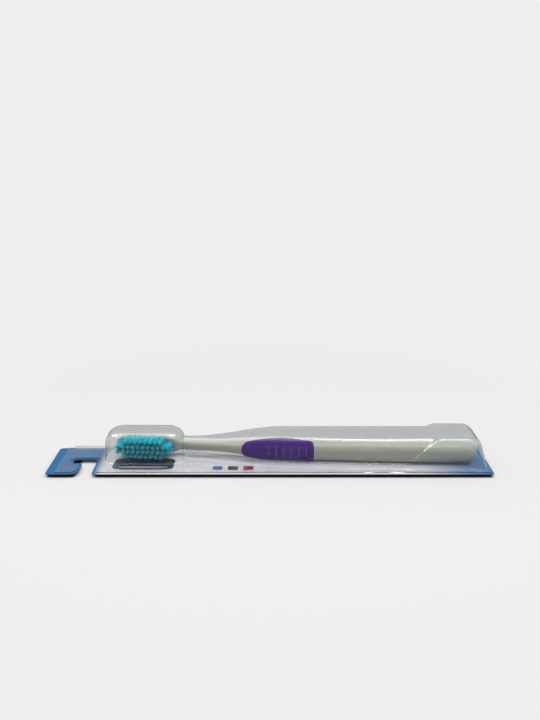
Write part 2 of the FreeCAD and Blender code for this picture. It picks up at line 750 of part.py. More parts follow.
cover_front = smooth([
    (size("cover_start_at"), size("cover_neck_front")),
    (size("cover_neck_at"), size("cover_neck_front")),
    (size("cover_rise_at"), -size("cover_rise_front")),
    (size("cover_grip_at"), -size("cover_grip_front")),
    (BLOCK_AT - size("cover_belly_margin"), -size("cover_belly_front")),
    (COVER_END, -size("cover_end_front")),
])
cover_back = smooth([
    (size("cover_neck_at"), size("cover_neck_back")),
    (size("cover_grip_at"), size("cover_back")),
    (COVER_END, size("cover_back")),
])
cover_height = smooth([
    (size("cover_neck_at"), size("cover_neck_height")),
    (size("cover_grip_at"), size("cover_height")),
    (COVER_END, size("cover_height")),
])


def cavity(kind, inset):
    """The blister's raised forms, outer or inner."""
    thickness = size("sheet_thickness") if kind == "inner" else 0.0
    dome = frustum(
        f"dome_{kind}", inset, "dome_hook_at", "dome_hook_at + dome_length", "dome_draft", "dome_draft",
        "dome_front", "dome_back", "dome_draft", "dome_height",
    )
    dome = fillet(f"dome_{kind}_sides", dome, size("dome_round") - thickness, upright_edge)
    dome = fillet(f"dome_{kind}_top", dome, size("dome_top_round") - thickness, top_edge)
    places = spaced(size("cover_start_at") + thickness, COVER_END - thickness, 6.0)
    cover = feature(
        f"cover_{kind}", Part.makeLoft([cover_section(x, thickness) for x in places], True, False)
    )
    block = frustum(
        f"block_{kind}", inset, "card_length - block_end_margin - block_length",
        "card_length - block_end_margin", "block_near_slope", "block_far_slope",
        "block_front", "block_back", "block_draft", "block_height",
    )
    block = fillet(f"block_{kind}_far", block, size("block_end_round") - thickness, far_edge)
    block = fillet(f"block_{kind}_near", block, size("block_round") - thickness, near_edge)
    return [dome, cover, block]


flange_gap = size("flange_notch_gap")
spots = notch_points(flange_gap)
margins = ["flange_hook_margin", "flange_tail_margin", "flange_front_margin", "flange_back_margin"]
flange = plate(
    "flange", *margins, "card_thickness", "sheet_thickness", "flange_notch_gap",
    [
        ("flange_round", box_corners(*[size(margin) for margin in margins])),
        ("notch_round", spots["pocket"]),
        ("finger_tip_round", spots["finger_tip"]),
    ],
)
lip = bind(
    add("Part::Box", "lip"),
    Length="card_length - flange_hook_margin - flange_tail_margin - 4 * flange_round",
    Width="sheet_thickness",
    Height="lip_height",
    Placement__Base__x="flange_hook_margin + 2 * flange_round - card_length / 2",
    Placement__Base__y="card_width / 2 - flange_back_margin - sheet_thickness",
    Placement__Base__z="card_thickness",
)
blister_outer = fuse("blister_outer", [flange, lip] + cavity("outer", "0"))
blister_inner = fuse("blister_inner", cavity("inner", "sheet_thickness"))
blister = cut("blister", blister_outer, blister_inner)

document.recompute()
pieces = [backing_card, blister, handle, thumb_grip, tuft_anchors] + tufts
for thing in document.Objects:
    if "Invalid" in thing.State or "Error" in thing.State:
        raise RuntimeError(f"{thing.Label} did not recompute: {thing.State}")
for piece in pieces:
    if piece.Shape.isNull() or not piece.Shape.isValid() or not piece.Shape.Solids:
        raise RuntimeError(f"{piece.Label} is not a valid solid")

os.makedirs(OUT_FOLDER, exist_ok=True)
for piece in pieces:
    piece.Shape.exportStep(f"{OUT_FOLDER}/{piece.Label}.step")
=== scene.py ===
"""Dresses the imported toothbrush, its blister and its card, and sets up the studio round them.

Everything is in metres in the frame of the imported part: +Z up, +X from the hang notch towards the
handle's end, -Y the way the bristles point, and the origin in the middle of the card's underside.
"""

from __future__ import annotations

import logging
import math
import random
from collections.abc import Callable, Sequence
from dataclasses import dataclass, field
from enum import Enum
from typing import ClassVar

import bmesh
import bpy
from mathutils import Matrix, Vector

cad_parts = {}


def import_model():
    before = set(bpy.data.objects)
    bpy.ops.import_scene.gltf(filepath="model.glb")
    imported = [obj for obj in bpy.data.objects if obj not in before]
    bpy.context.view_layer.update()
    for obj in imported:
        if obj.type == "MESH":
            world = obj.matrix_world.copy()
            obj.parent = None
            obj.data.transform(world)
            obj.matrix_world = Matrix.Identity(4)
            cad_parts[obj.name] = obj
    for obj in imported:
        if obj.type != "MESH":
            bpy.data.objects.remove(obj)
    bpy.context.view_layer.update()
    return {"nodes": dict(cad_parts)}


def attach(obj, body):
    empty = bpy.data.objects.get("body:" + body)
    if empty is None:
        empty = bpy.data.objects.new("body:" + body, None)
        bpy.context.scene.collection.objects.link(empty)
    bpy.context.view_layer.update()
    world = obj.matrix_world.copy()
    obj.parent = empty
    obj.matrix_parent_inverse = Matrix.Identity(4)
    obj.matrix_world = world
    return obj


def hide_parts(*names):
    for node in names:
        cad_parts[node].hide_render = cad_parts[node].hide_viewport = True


LOG = logging.getLogger("toothbrush")
MM = 0.001
TOUCH = 0.01 * MM

Colour = tuple[float, float, float]
Point = tuple[float, float, float]
Pair = tuple[float, float]
Stations = tuple[Pair, ...]
Test = Callable[[Vector, Vector], bool]
Socket = bpy.types.NodeSocket
Material = bpy.types.Material
Piece = bpy.types.Object


class Body(str, Enum):
    """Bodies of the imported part."""

    CARD = "card"
    BLISTER = "blister"
    BRUSH = "toothbrush"


class Slot(str, Enum):
    """Slot names of the record for the new pieces' finishes; nothing in this script reads them."""

    SHEET = "clear_sheet"
    HANDLE = "handle_plastic"
    GRIP = "grip_rubber"
    BRISTLE = "bristle_nylon"


class Pick(Enum):
    """Elements of a mesh that are picked in edit mode."""

    EDGES = "EDGE"
    FACES = "FACE"


def mm(*lengths: float) -> tuple[float, ...]:
    """Lengths in metres, from millimetres."""
    return tuple(length * MM for length in lengths)


def lengths_along(*pairs: Pair) -> Stations:
    """Places and lengths in metres, from millimetres."""
    return tuple(mm(*pair) for pair in pairs)


def angles_along(*pairs: Pair) -> Stations:
    """Places in metres and angles in radians, from millimetres and degrees."""
    return tuple((place * MM, math.radians(angle)) for place, angle in pairs)


# Materials


class Nodes:
    """A material's node tree, built from left to right."""

    def __init__(self, name: str) -> None:
        """Starts a material with one Principled shader.

        Args:
            name: Name of the material.
        """
        self.material = bpy.data.materials.new(name)
        self.material.use_nodes = True
        self.tree = self.material.node_tree
        self.shader = self.tree.nodes["Principled BSDF"]
        self.spot = self.add("ShaderNodeTexCoord").outputs["Object"]

    def add(self, kind: str, **settings: object) -> bpy.types.Node:
        """Adds a node.

        Args:
            kind: Blender's name of the node's type.
            settings: Properties of the node itself.

        Returns:
            The node.
        """
        node = self.tree.nodes.new(kind)
        for key, value in settings.items():
            setattr(node, key, value)
        return node

    def link(self, source: Socket, target: Socket) -> None:
        """Joins an output to an input."""
        self.tree.links.new(source, target)

    def feed(self, target: Socket, value: object) -> None:
        """Sets an input to a plain value, or joins it to an output.

        Args:
            target: The input.
            value: The value or output.
        """
        if isinstance(value, Socket):
            self.link(value, target)
        else:
            target.default_value = value

    def math(self, operation: str, *values: object, clamp: bool = False) -> Socket:
        """Adds a Math node.

        Args:
            operation: The node's operation.
            values: Its inputs, each a number or an output.
            clamp: Whether the result is kept between 0 and 1.

        Returns:
            The result.
        """
        node = self.add("ShaderNodeMath", operation=operation, use_clamp=clamp)
        for socket, value in zip(node.inputs, values):
            self.feed(socket, value)
        return node.outputs[0]

    def along(self, direction: Sequence[float], start: Sequence[float] = (0, 0, 0)) -> Socket:
        """Distance of a surface point from a start, along a direction.

        Args:
            direction: Unit direction in the part's frame.
            start: Point in the part's frame where the distance is 0.

        Returns:
            The distance in metres.
        """
        dot = self.add("ShaderNodeVectorMath", operation="DOT_PRODUCT")
        self.link(self.spot, dot.inputs[0])
        dot.inputs[1].default_value = direction
        return self.math("SUBTRACT", dot.outputs["Value"], Vector(direction).dot(Vector(start)))

    def fade(self, value: object, low: float, high: float, start: float = 0.0, end: float = 1.0) -> Socket:
        """A smooth step from one value to another.

        Args:
            value: The driving output.
            low: Where the step begins.
            high: Where the step ends.
            start: Result before the step.
            end: Result after the step.

        Returns:
            The result.
        """
        node = self.add("ShaderNodeMapRange", interpolation_type="SMOOTHSTEP")
        self.feed(node.inputs["Value"], value)
        for key, number in (("From Min", low), ("From Max", high), ("To Min", start), ("To Max", end)):
            node.inputs[key].default_value = number
        return node.outputs["Result"]

    def vary(self, noise: Socket, start: float, end: float) -> Socket:
        """Spreads the middle part of a noise over a range of values."""
        return self.fade(noise, 0.3, 0.7, start, end)

    def mix(self, share: object, first: object, second: object) -> Socket:
        """Blends two colours.

        Args:
            share: How much of the second one shows, from 0 to 1.
            first: Colour or output.
            second: Colour or output.

        Returns:
            The blended colour.
        """
        node = self.add("ShaderNodeMix", data_type="RGBA")
        self.feed(node.inputs["Factor"], share)
        for socket, value in ((node.inputs[6], first), (node.inputs[7], second)):
            self.feed(socket, (*value, 1.0) if isinstance(value, tuple) else value)
        return node.outputs[2]

    def noise(self, size: float, detail: float = 2.0, stretch: Point = (1.0, 1.0, 1.0)) -> Socket:
        """Soft noise on the part's own coordinates.

        Args:
            size: Rough width of a patch in metres.
            detail: Finer layers of noise.
            stretch: How much each axis is drawn out.

        Returns:
            The noise, from 0 to 1.
        """
        scale = self.add("ShaderNodeMapping")
        self.link(self.spot, scale.inputs["Vector"])
        scale.inputs["Scale"].default_value = [1.0 / s for s in stretch]
        node = self.add("ShaderNodeTexNoise")
        self.link(scale.outputs[0], node.inputs["Vector"])
        node.inputs["Scale"].default_value = 1.0 / size
        node.inputs["Detail"].default_value = detail
        return node.outputs[0]

    def bump(self, height: Socket, depth: float, strength: float) -> None:
        """Roughens the surface's shading by a height.

        Args:
            height: The height, from 0 to 1.
            depth: How deep the relief is, in metres.
            strength: How much of it shows, from 0 to 1.
        """
        node = self.add("ShaderNodeBump")
        node.inputs["Strength"].default_value = strength
        node.inputs["Distance"].default_value = depth
        self.link(height, node.inputs["Height"])
        self.link(node.outputs[0], self.shader.inputs["Normal"])

    def set(self, **values: object) -> None:
        """Sets inputs of the shader.

        Args:
            values: Values or outputs by the inputs' names, with underscores for spaces.
        """
        for key, value in values.items():
            socket = self.shader.inputs[key.replace("_", " ")]
            self.feed(socket, (*value, 1.0) if isinstance(value, tuple) else value)


@dataclass(frozen=True)
class MouldedPlastic:
    """Glossy ivory polypropylene with a faint flow pattern."""

    colour: Colour = (0.46, 0.465, 0.415)
    shade: Colour = (0.425, 0.43, 0.38)
    roughness: Pair = (0.24, 0.33)
    flow_size: float = 9 * MM
    grain_size: float = 0.5 * MM
    grain_depth: float = 0.006 * MM

    def material(self) -> Material:
        """Makes the material.

        Returns:
            The material.
        """
        nodes = Nodes("moulded_ivory")
        flow = nodes.noise(self.flow_size, 3.0, (4.0, 1.0, 1.0))
        grain = nodes.noise(self.grain_size)
        nodes.set(Base_Color=nodes.mix(nodes.fade(flow, 0.35, 0.7), self.colour, self.shade))
        nodes.set(Roughness=nodes.vary(grain, *self.roughness))
        nodes.set(IOR=1.49, Coat_Weight=0.15, Coat_Roughness=0.08)
        nodes.bump(grain, self.grain_depth, 0.35)
        return nodes.material


@dataclass(frozen=True)
class GripRubber:
    """Soft violet rubber with a fine matt grain, and a lighter colour painted on its ribs as a highlight."""

    mark: ClassVar[str] = "rib"
    colour: Colour = (0.055, 0.004, 0.200)
    worn: Colour = (0.067, 0.008, 0.23)
    rib_highlight: Colour = (0.145, 0.058, 0.33)
    roughness: Pair = (0.35, 0.48)
    patch_size: float = 5 * MM
    grain_size: float = 0.22 * MM
    grain_depth: float = 0.02 * MM

    def material(self) -> Material:
        """Makes the material, which reads how much of a rib each point is from the mark.

        Returns:
            The material.
        """
        nodes = Nodes("grip_rubber")
        patch = nodes.noise(self.patch_size, 3.0)
        grain = nodes.noise(self.grain_size, 3.0)
        rib = nodes.add("ShaderNodeAttribute", attribute_name=self.mark).outputs["Fac"]
        colour = nodes.mix(nodes.fade(patch, 0.35, 0.75), self.colour, self.worn)
        # Painted highlight: the ribs get a lighter violet wherever the mark says they stand.
        nodes.set(Base_Color=nodes.mix(rib, colour, self.rib_highlight))
        nodes.set(Roughness=nodes.vary(grain, *self.roughness))
        nodes.set(IOR=1.45, Specular_IOR_Level=0.1)
        nodes.bump(grain, self.grain_depth, 0.4)
        return nodes.material


@dataclass(frozen=True)
class BristleNylon:
    """Dyed nylon filament that lets light through, darker towards its roots as painted shade and paler
    towards its rounded tip as a painted highlight.
    """

    root_shade: Colour = (0.0, 0.58, 0.84)
    shaft: Colour = (0.0, 0.69, 1.0)
    tip: Colour = (0.05, 0.92, 1.0)
    shaft_from: float = 0.9
    tip_from: Pair = (0.85, 0.98)
    tip_share: Pair = (0.45, 1.0)
    roughness: Pair = (0.28, 0.4)
    speck_size: float = 0.35 * MM
    scatter: float = 0.8
    scatter_radius: Colour = (0.1, 1.0, 1.0)
    scatter_depth: float = 1.0 * MM

    def material(self, start: Vector, direction: Vector, length: float) -> Material:
        """Makes the material.

        Args:
            start: A point on the bristle face.
            direction: The way the bristles point.
            length: Length of a bristle above the face.

        Returns:
            The material.
        """
        nodes = Nodes("bristle_nylon")
        reach = nodes.along(direction, start)
        speck = nodes.noise(self.speck_size, 1.0)
        # Painted shade: the filaments get darker towards their roots, where the tufts crowd together.
        colour = nodes.mix(nodes.fade(reach, 0.0, self.shaft_from * length), self.root_shade, self.shaft)
        # Painted highlight: the filaments get paler near the tip, by a random amount from speck to speck.
        near_tip = nodes.fade(reach, *(share * length for share in self.tip_from))
        pale = nodes.math("MULTIPLY", near_tip, nodes.vary(speck, *self.tip_share))
        nodes.set(Base_Color=nodes.mix(pale, colour, self.tip), Roughness=nodes.vary(speck, *self.roughness))
        nodes.set(IOR=1.53, Specular_IOR_Level=0.02, Subsurface_Weight=self.scatter)
        nodes.set(Subsurface_Radius=Vector(self.scatter_radius), Subsurface_Scale=self.scatter_depth)
        return nodes.material


@dataclass(frozen=True)
class ClearSheet:
    """Thin clear thermoformed sheet with a faint grey cast and slight waviness."""

    tint: Colour = (0.80, 0.815, 0.805)
    roughness: Pair = (0.004, 0.014)
    smear_size: float = 14 * MM
    wave_size: float = 7 * MM
    wave_depth: float = 0.05 * MM

    def material(self) -> Material:
        """Makes the material.

        Returns:
            The material.
        """
        nodes = Nodes("clear_sheet")
        smear = nodes.noise(self.smear_size)
        nodes.set(Base_Color=self.tint, Transmission_Weight=1.0, IOR=1.45)
        nodes.set(Roughness=nodes.fade(smear, 0.35, 0.7, *self.roughness))
        nodes.bump(nodes.noise(self.wave_size, 1.0), self.wave_depth, 0.15)
        return nodes.material


@dataclass(frozen=True)
class Panel:
    """A flat printed panel, from an oval to a squarish one.

    It has its middle and half its size in plan, a power of 2 for an oval or more for a squarer
    panel, and one colour.
    """

    centre: Pair
    half: Pair
    power: float
    colour: Colour

    def mask(self, nodes: Nodes) -> Socket:
        """Tells where the panel is.

        Args:
            nodes: The material's nodes.

        Returns:
            1 on the panel and 0 off it.
        """
        parts = []
        for axis, middle, reach in zip(((1, 0, 0), (0, 1, 0)), self.centre, self.half):
            away = nodes.math("ABSOLUTE", nodes.along(axis, (middle, middle, 0.0)))
            parts.append(nodes.math("POWER", nodes.math("DIVIDE", away, reach), self.power))
        return nodes.math("LESS_THAN", nodes.math("ADD", *parts), 1.0)


@dataclass(frozen=True)
class PrintedBoard:
    """Coated board: silver print that turns blue towards both ends, plain panels, and bare board behind."""

    silver: Colour = (0.70, 0.685, 0.74)
    blue: Colour = (0.035, 0.165, 0.375)
    slate: Colour = (0.012, 0.02, 0.042)
    crimson: Colour = (0.30, 0.012, 0.05)
    clay: Colour = (0.33, 0.10, 0.035)
    rule: Colour = (0.26, 0.27, 0.31)
    back: Colour = (0.48, 0.46, 0.42)
    back_fibre: Colour = (0.56, 0.54, 0.50)
    edge_shade: Colour = (0.03, 0.03, 0.033)
    header: Pair = mm(-91, -86)
    footer: Pair = mm(68, 112)
    footer_share: float = 0.95
    fibre_size: float = 0.6 * MM
    fibre_depth: float = 0.02 * MM
    cut_roughness: float = 0.85
    print_roughness: float = 0.42
    panels: tuple[Panel, ...] = (
        Panel(mm(-66, -4.5), mm(16.0, 8.0), 6.0, slate),
        Panel(mm(-66, -9.0), mm(13.0, 0.45), 8.0, silver),
        Panel(mm(-66, -10.6), mm(13.0, 0.45), 8.0, clay),
        Panel(mm(-27, -10.4), mm(2.6, 2.6), 8.0, blue),
        Panel(mm(-19, -10.4), mm(2.6, 2.6), 8.0, slate),
        Panel(mm(-11, -10.4), mm(2.6, 2.6), 8.0, crimson),
        Panel(mm(0, -14.1), mm(84, 0.14), 8.0, rule),
        Panel(mm(0, -14.9), mm(84, 0.14), 8.0, rule),
    )

    def face(self, nodes: Nodes) -> Socket:
        """The print on the front.

        Args:
            nodes: The material's nodes.

        Returns:
            Its colour.
        """
        along = nodes.along((1, 0, 0))
        header = nodes.fade(along, *self.header, 1.0, 0.0)
        footer = nodes.fade(along, *self.footer, 0.0, self.footer_share)
        face = nodes.mix(nodes.math("MAXIMUM", header, footer), self.silver, self.blue)
        for panel in self.panels:
            face = nodes.mix(panel.mask(nodes), face, panel.colour)
        return face

    def material(self) -> Material:
        """Makes the material, with the print above, cut edges painted near black as shade under the card's
        edge, and bare board below.

        Returns:
            The material.
        """
        nodes = Nodes("printed_board")
        face = self.face(nodes)
        fibre = nodes.noise(self.fibre_size, 4.0, (2.0, 1.0, 1.0))
        behind = nodes.mix(fibre, self.back, self.back_fibre)
        facing = nodes.add("ShaderNodeSeparateXYZ")
        nodes.link(nodes.add("ShaderNodeNewGeometry").outputs["True Normal"], facing.inputs[0])
        top = nodes.math("GREATER_THAN", facing.outputs["Z"], 0.5)
        under = nodes.math("LESS_THAN", facing.outputs["Z"], -0.5)
        # Painted shade: the cut edges are near black, standing in for the shadow under the card's edge.
        nodes.set(Base_Color=nodes.mix(under, nodes.mix(top, self.edge_shade, face), behind))
        nodes.set(Roughness=nodes.fade(top, 0.0, 1.0, self.cut_roughness, self.print_roughness))
        nodes.set(IOR=1.5, Specular_IOR_Level=0.3)
        nodes.bump(fibre, self.fibre_depth, 0.2)
        return nodes.material


@dataclass(frozen=True)
class AnchorBrass:
    """Drawn brass strip."""

    colour: Colour = (0.70, 0.50, 0.20)
    streaked: Colour = (0.60, 0.42, 0.16)
    roughness: Pair = (0.25, 0.4)
    streak_size: float = 0.3 * MM

    def material(self) -> Material:
        """Makes the material.

        Returns:
            The material.
        """
        nodes = Nodes("anchor_brass")
        streak = nodes.noise(self.streak_size, 2.0, (1.0, 1.0, 6.0))
        nodes.set(Base_Color=nodes.mix(streak, self.colour, self.streaked), Metallic=1.0)
        nodes.set(Roughness=nodes.vary(streak, *self.roughness))
        return nodes.material


# Modelling by hand


def deselect() -> None:
    """Leaves edit mode and deselects everything."""
    if bpy.context.object is not None and bpy.context.object.mode != "OBJECT":
        bpy.ops.object.mode_set(mode="OBJECT")
    bpy.ops.object.select_all(action="DESELECT")


def activate(piece: Piece) -> None:
    """Makes a piece the only selected one.

    Args:
        piece: The object.
    """
    deselect()
    piece.select_set(True)
    bpy.context.view_layer.objects.active = piece


def settle(piece: Piece) -> None:
    """Puts a piece's place, turn and scale into its mesh."""
    activate(piece)
    bpy.ops.object.transform_apply(location=True, rotation=True, scale=True)


def finish_with(piece: Piece, kind: str, **settings: object) -> None:
    """Adds a modifier to a piece and applies it.

    Args:
        piece: The object.
        kind: Type of the modifier.
        settings: Properties of the modifier.
    """
    activate(piece)
    modifier = piece.modifiers.new(kind.lower(), kind)
    for key, value in settings.items():
        setattr(modifier, key, value)
    bpy.ops.object.modifier_apply(modifier=modifier.name)


def box(name: str, low: Sequence[float], high: Sequence[float]) -> Piece:
    """Adds a cube primitive that fills a box.

    Args:
        name: Name of the object.
        low: Lower corner.
        high: Upper corner.

    Returns:
        The object, with its place and size in its mesh.
    """
    deselect()
    centre = [(a + b) / 2 for a, b in zip(low, high)]
    bpy.ops.mesh.primitive_cube_add(size=1.0, location=centre, scale=[b - a for a, b in zip(low, high)])
    piece = bpy.context.object
    piece.name = name
    settle(piece)
    return piece


def pick(piece: Piece, kind: Pick, test: Test) -> None:
    """Goes to edit mode with only those edges or faces selected that pass a test.

    Args:
        piece: The object.
        kind: Whether edges or faces are picked.
        test: Takes an edge's two ends, or a face's centre and normal.
    """
    activate(piece)
    bpy.ops.object.mode_set(mode="EDIT")
    bpy.ops.mesh.select_mode(type=kind.value)
    bpy.ops.mesh.select_all(action="DESELECT")
    bpy.ops.object.mode_set(mode="OBJECT")
    if kind is Pick.EDGES:
        points = piece.data.vertices
        for edge in piece.data.edges:
            edge.select = test(*(points[n].co for n in edge.vertices))
    else:
        for face in piece.data.polygons:
            face.select = test(face.center, face.normal)
    bpy.ops.object.mode_set(mode="EDIT")


def bevel(piece: Piece, radius: float, segments: int, test: Test) -> None:
    """Rounds the edges whose two ends pass a test.

    Args:
        piece: The object.
        radius: Radius of the rounding.
        segments: Faces across it.
        test: Tells from an edge's ends whether it is rounded.
    """
    pick(piece, Pick.EDGES, test)
    bpy.ops.mesh.bevel(offset=radius, segments=segments, profile=0.5, affect="EDGES")
    bpy.ops.object.mode_set(mode="OBJECT")


def upright_at(x: float, y: float) -> Test:
    """A test that only the upright edge at a place in plan passes."""
    return lambda a, b: all(math.hypot(p.x - x, p.y - y) < 5 * TOUCH for p in (a, b))


def resize(piece: Piece, test: Test, scale: Point, **settings: object) -> None:
    """Stretches the faces of a piece that pass a test.

    Args:
        piece: The object.
        test: Takes a face's centre and normal.
        scale: How much each axis grows.
        settings: Further settings of the operator.
    """
    pick(piece, Pick.FACES, test)
    bpy.ops.transform.resize(value=scale, **settings)
    bpy.ops.object.mode_set(mode="OBJECT")


def cut_rings(piece: Piece, normal: Point, places: Sequence[float]) -> None:
    """Cuts rings of edges into a piece, square to an axis.

    Args:
        piece: The object.
        normal: Direction of the axis.
        places: Where the rings go along it.
    """
    activate(piece)
    bpy.ops.object.mode_set(mode="EDIT")
    for place in places:
        bpy.ops.mesh.select_all(action="SELECT")
        bpy.ops.mesh.bisect(plane_co=[place * n for n in normal], plane_no=normal)
    bpy.ops.mesh.select_all(action="DESELECT")
    bpy.ops.object.mode_set(mode="OBJECT")


def wrap_grid(
    name: str, rows: Sequence[float], columns: Sequence[float], place: Callable[[float, float], Vector]
) -> Piece:
    """Moves the points of a grid primitive onto a surface and closes its seams.

    Args:
        name: Name of the object.
        rows: First surface coordinate of each row of points.
        columns: Second surface coordinate of each column of points.
        place: The surface: a point for each pair of coordinates.

    Returns:
        The object, with faces that point outwards.
    """
    deselect()
    across, along = len(rows) - 1, len(columns) - 1
    bpy.ops.mesh.primitive_grid_add(x_subdivisions=across, y_subdivisions=along, size=2.0)
    piece = bpy.context.object
    piece.name = name
    for vertex in piece.data.vertices:
        row = round((vertex.co.x + 1) / 2 * across)
        column = round((vertex.co.y + 1) / 2 * along)
        vertex.co = place(rows[row], columns[column])
    activate(piece)
    bpy.ops.object.mode_set(mode="EDIT")
    bpy.ops.mesh.select_all(action="SELECT")
    bpy.ops.mesh.remove_doubles(threshold=0.004 * MM)
    bpy.ops.mesh.dissolve_degenerate(threshold=0.001 * MM)
    bpy.ops.mesh.normals_make_consistent(inside=False)
    bpy.ops.object.mode_set(mode="OBJECT")
    return piece


def spaced(start: float, end: float, step: float) -> list[float]:
    """Evenly spaced places from start to end, at most a step apart."""
    count = max(1, math.ceil((end - start) / step))
    return [start + (end - start) * n / count for n in range(count + 1)]


def smooth(stations: Sequence[Pair]) -> Callable[[float], float]:
    """A curve through stations that never swings past them.

    Args:
        stations: Places and values, in order of place.

    Returns:
        The value at a place, level before the first station and after the last.
    """
    slopes = [(b[1] - a[1]) / (b[0] - a[0]) for a, b in zip(stations, stations[1:])]
    tangents = [0.0]
    for left, right in zip(slopes, slopes[1:]):
        tangents.append(2 * left * right / (left + right) if left * right > 0 else 0.0)
    tangents.append(0.0)

    def value(place: float) -> float:
        """The curve's value at a place.

        Args:
            place: The place.

        Returns:
            The value.
        """
        if place <= stations[0][0]:
            return stations[0][1]
        for n, ((x0, y0), (x1, y1)) in enumerate(zip(stations, stations[1:])):
            if place <= x1:
                span = x1 - x0
                t = (place - x0) / span
                rise = (3 - 2 * t) * t * t
                swing = tangents[n] * (1 - t) - tangents[n + 1] * t
                return y0 + (y1 - y0) * rise + span * t * (1 - t) * swing
        return stations[-1][1]

    return value


def dress(piece: Piece, material: Material) -> None:
    """Gives a piece one material."""
    piece.data.materials.clear()
    piece.data.materials.append(material)


def shade(piece: Piece, degrees: float) -> None:
    """Shades a piece smoothly, but for edges sharper than an angle."""
    activate(piece)
    bpy.ops.object.shade_smooth_by_angle(angle=math.radians(degrees))


def hand_in(piece: Piece, body: Body, node: str) -> None:
    """Rides a new piece on its body in place of a CAD node, and reports it.

    Args:
        piece: The finished object.
        body: The body that it moves with.
        node: The CAD node that it stands for.
    """
    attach(piece, body.value)
    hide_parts(node)
    LOG.info("%s: %d faces on %s", piece.name, len(piece.data.polygons), body.value)


# Sub-assemblies


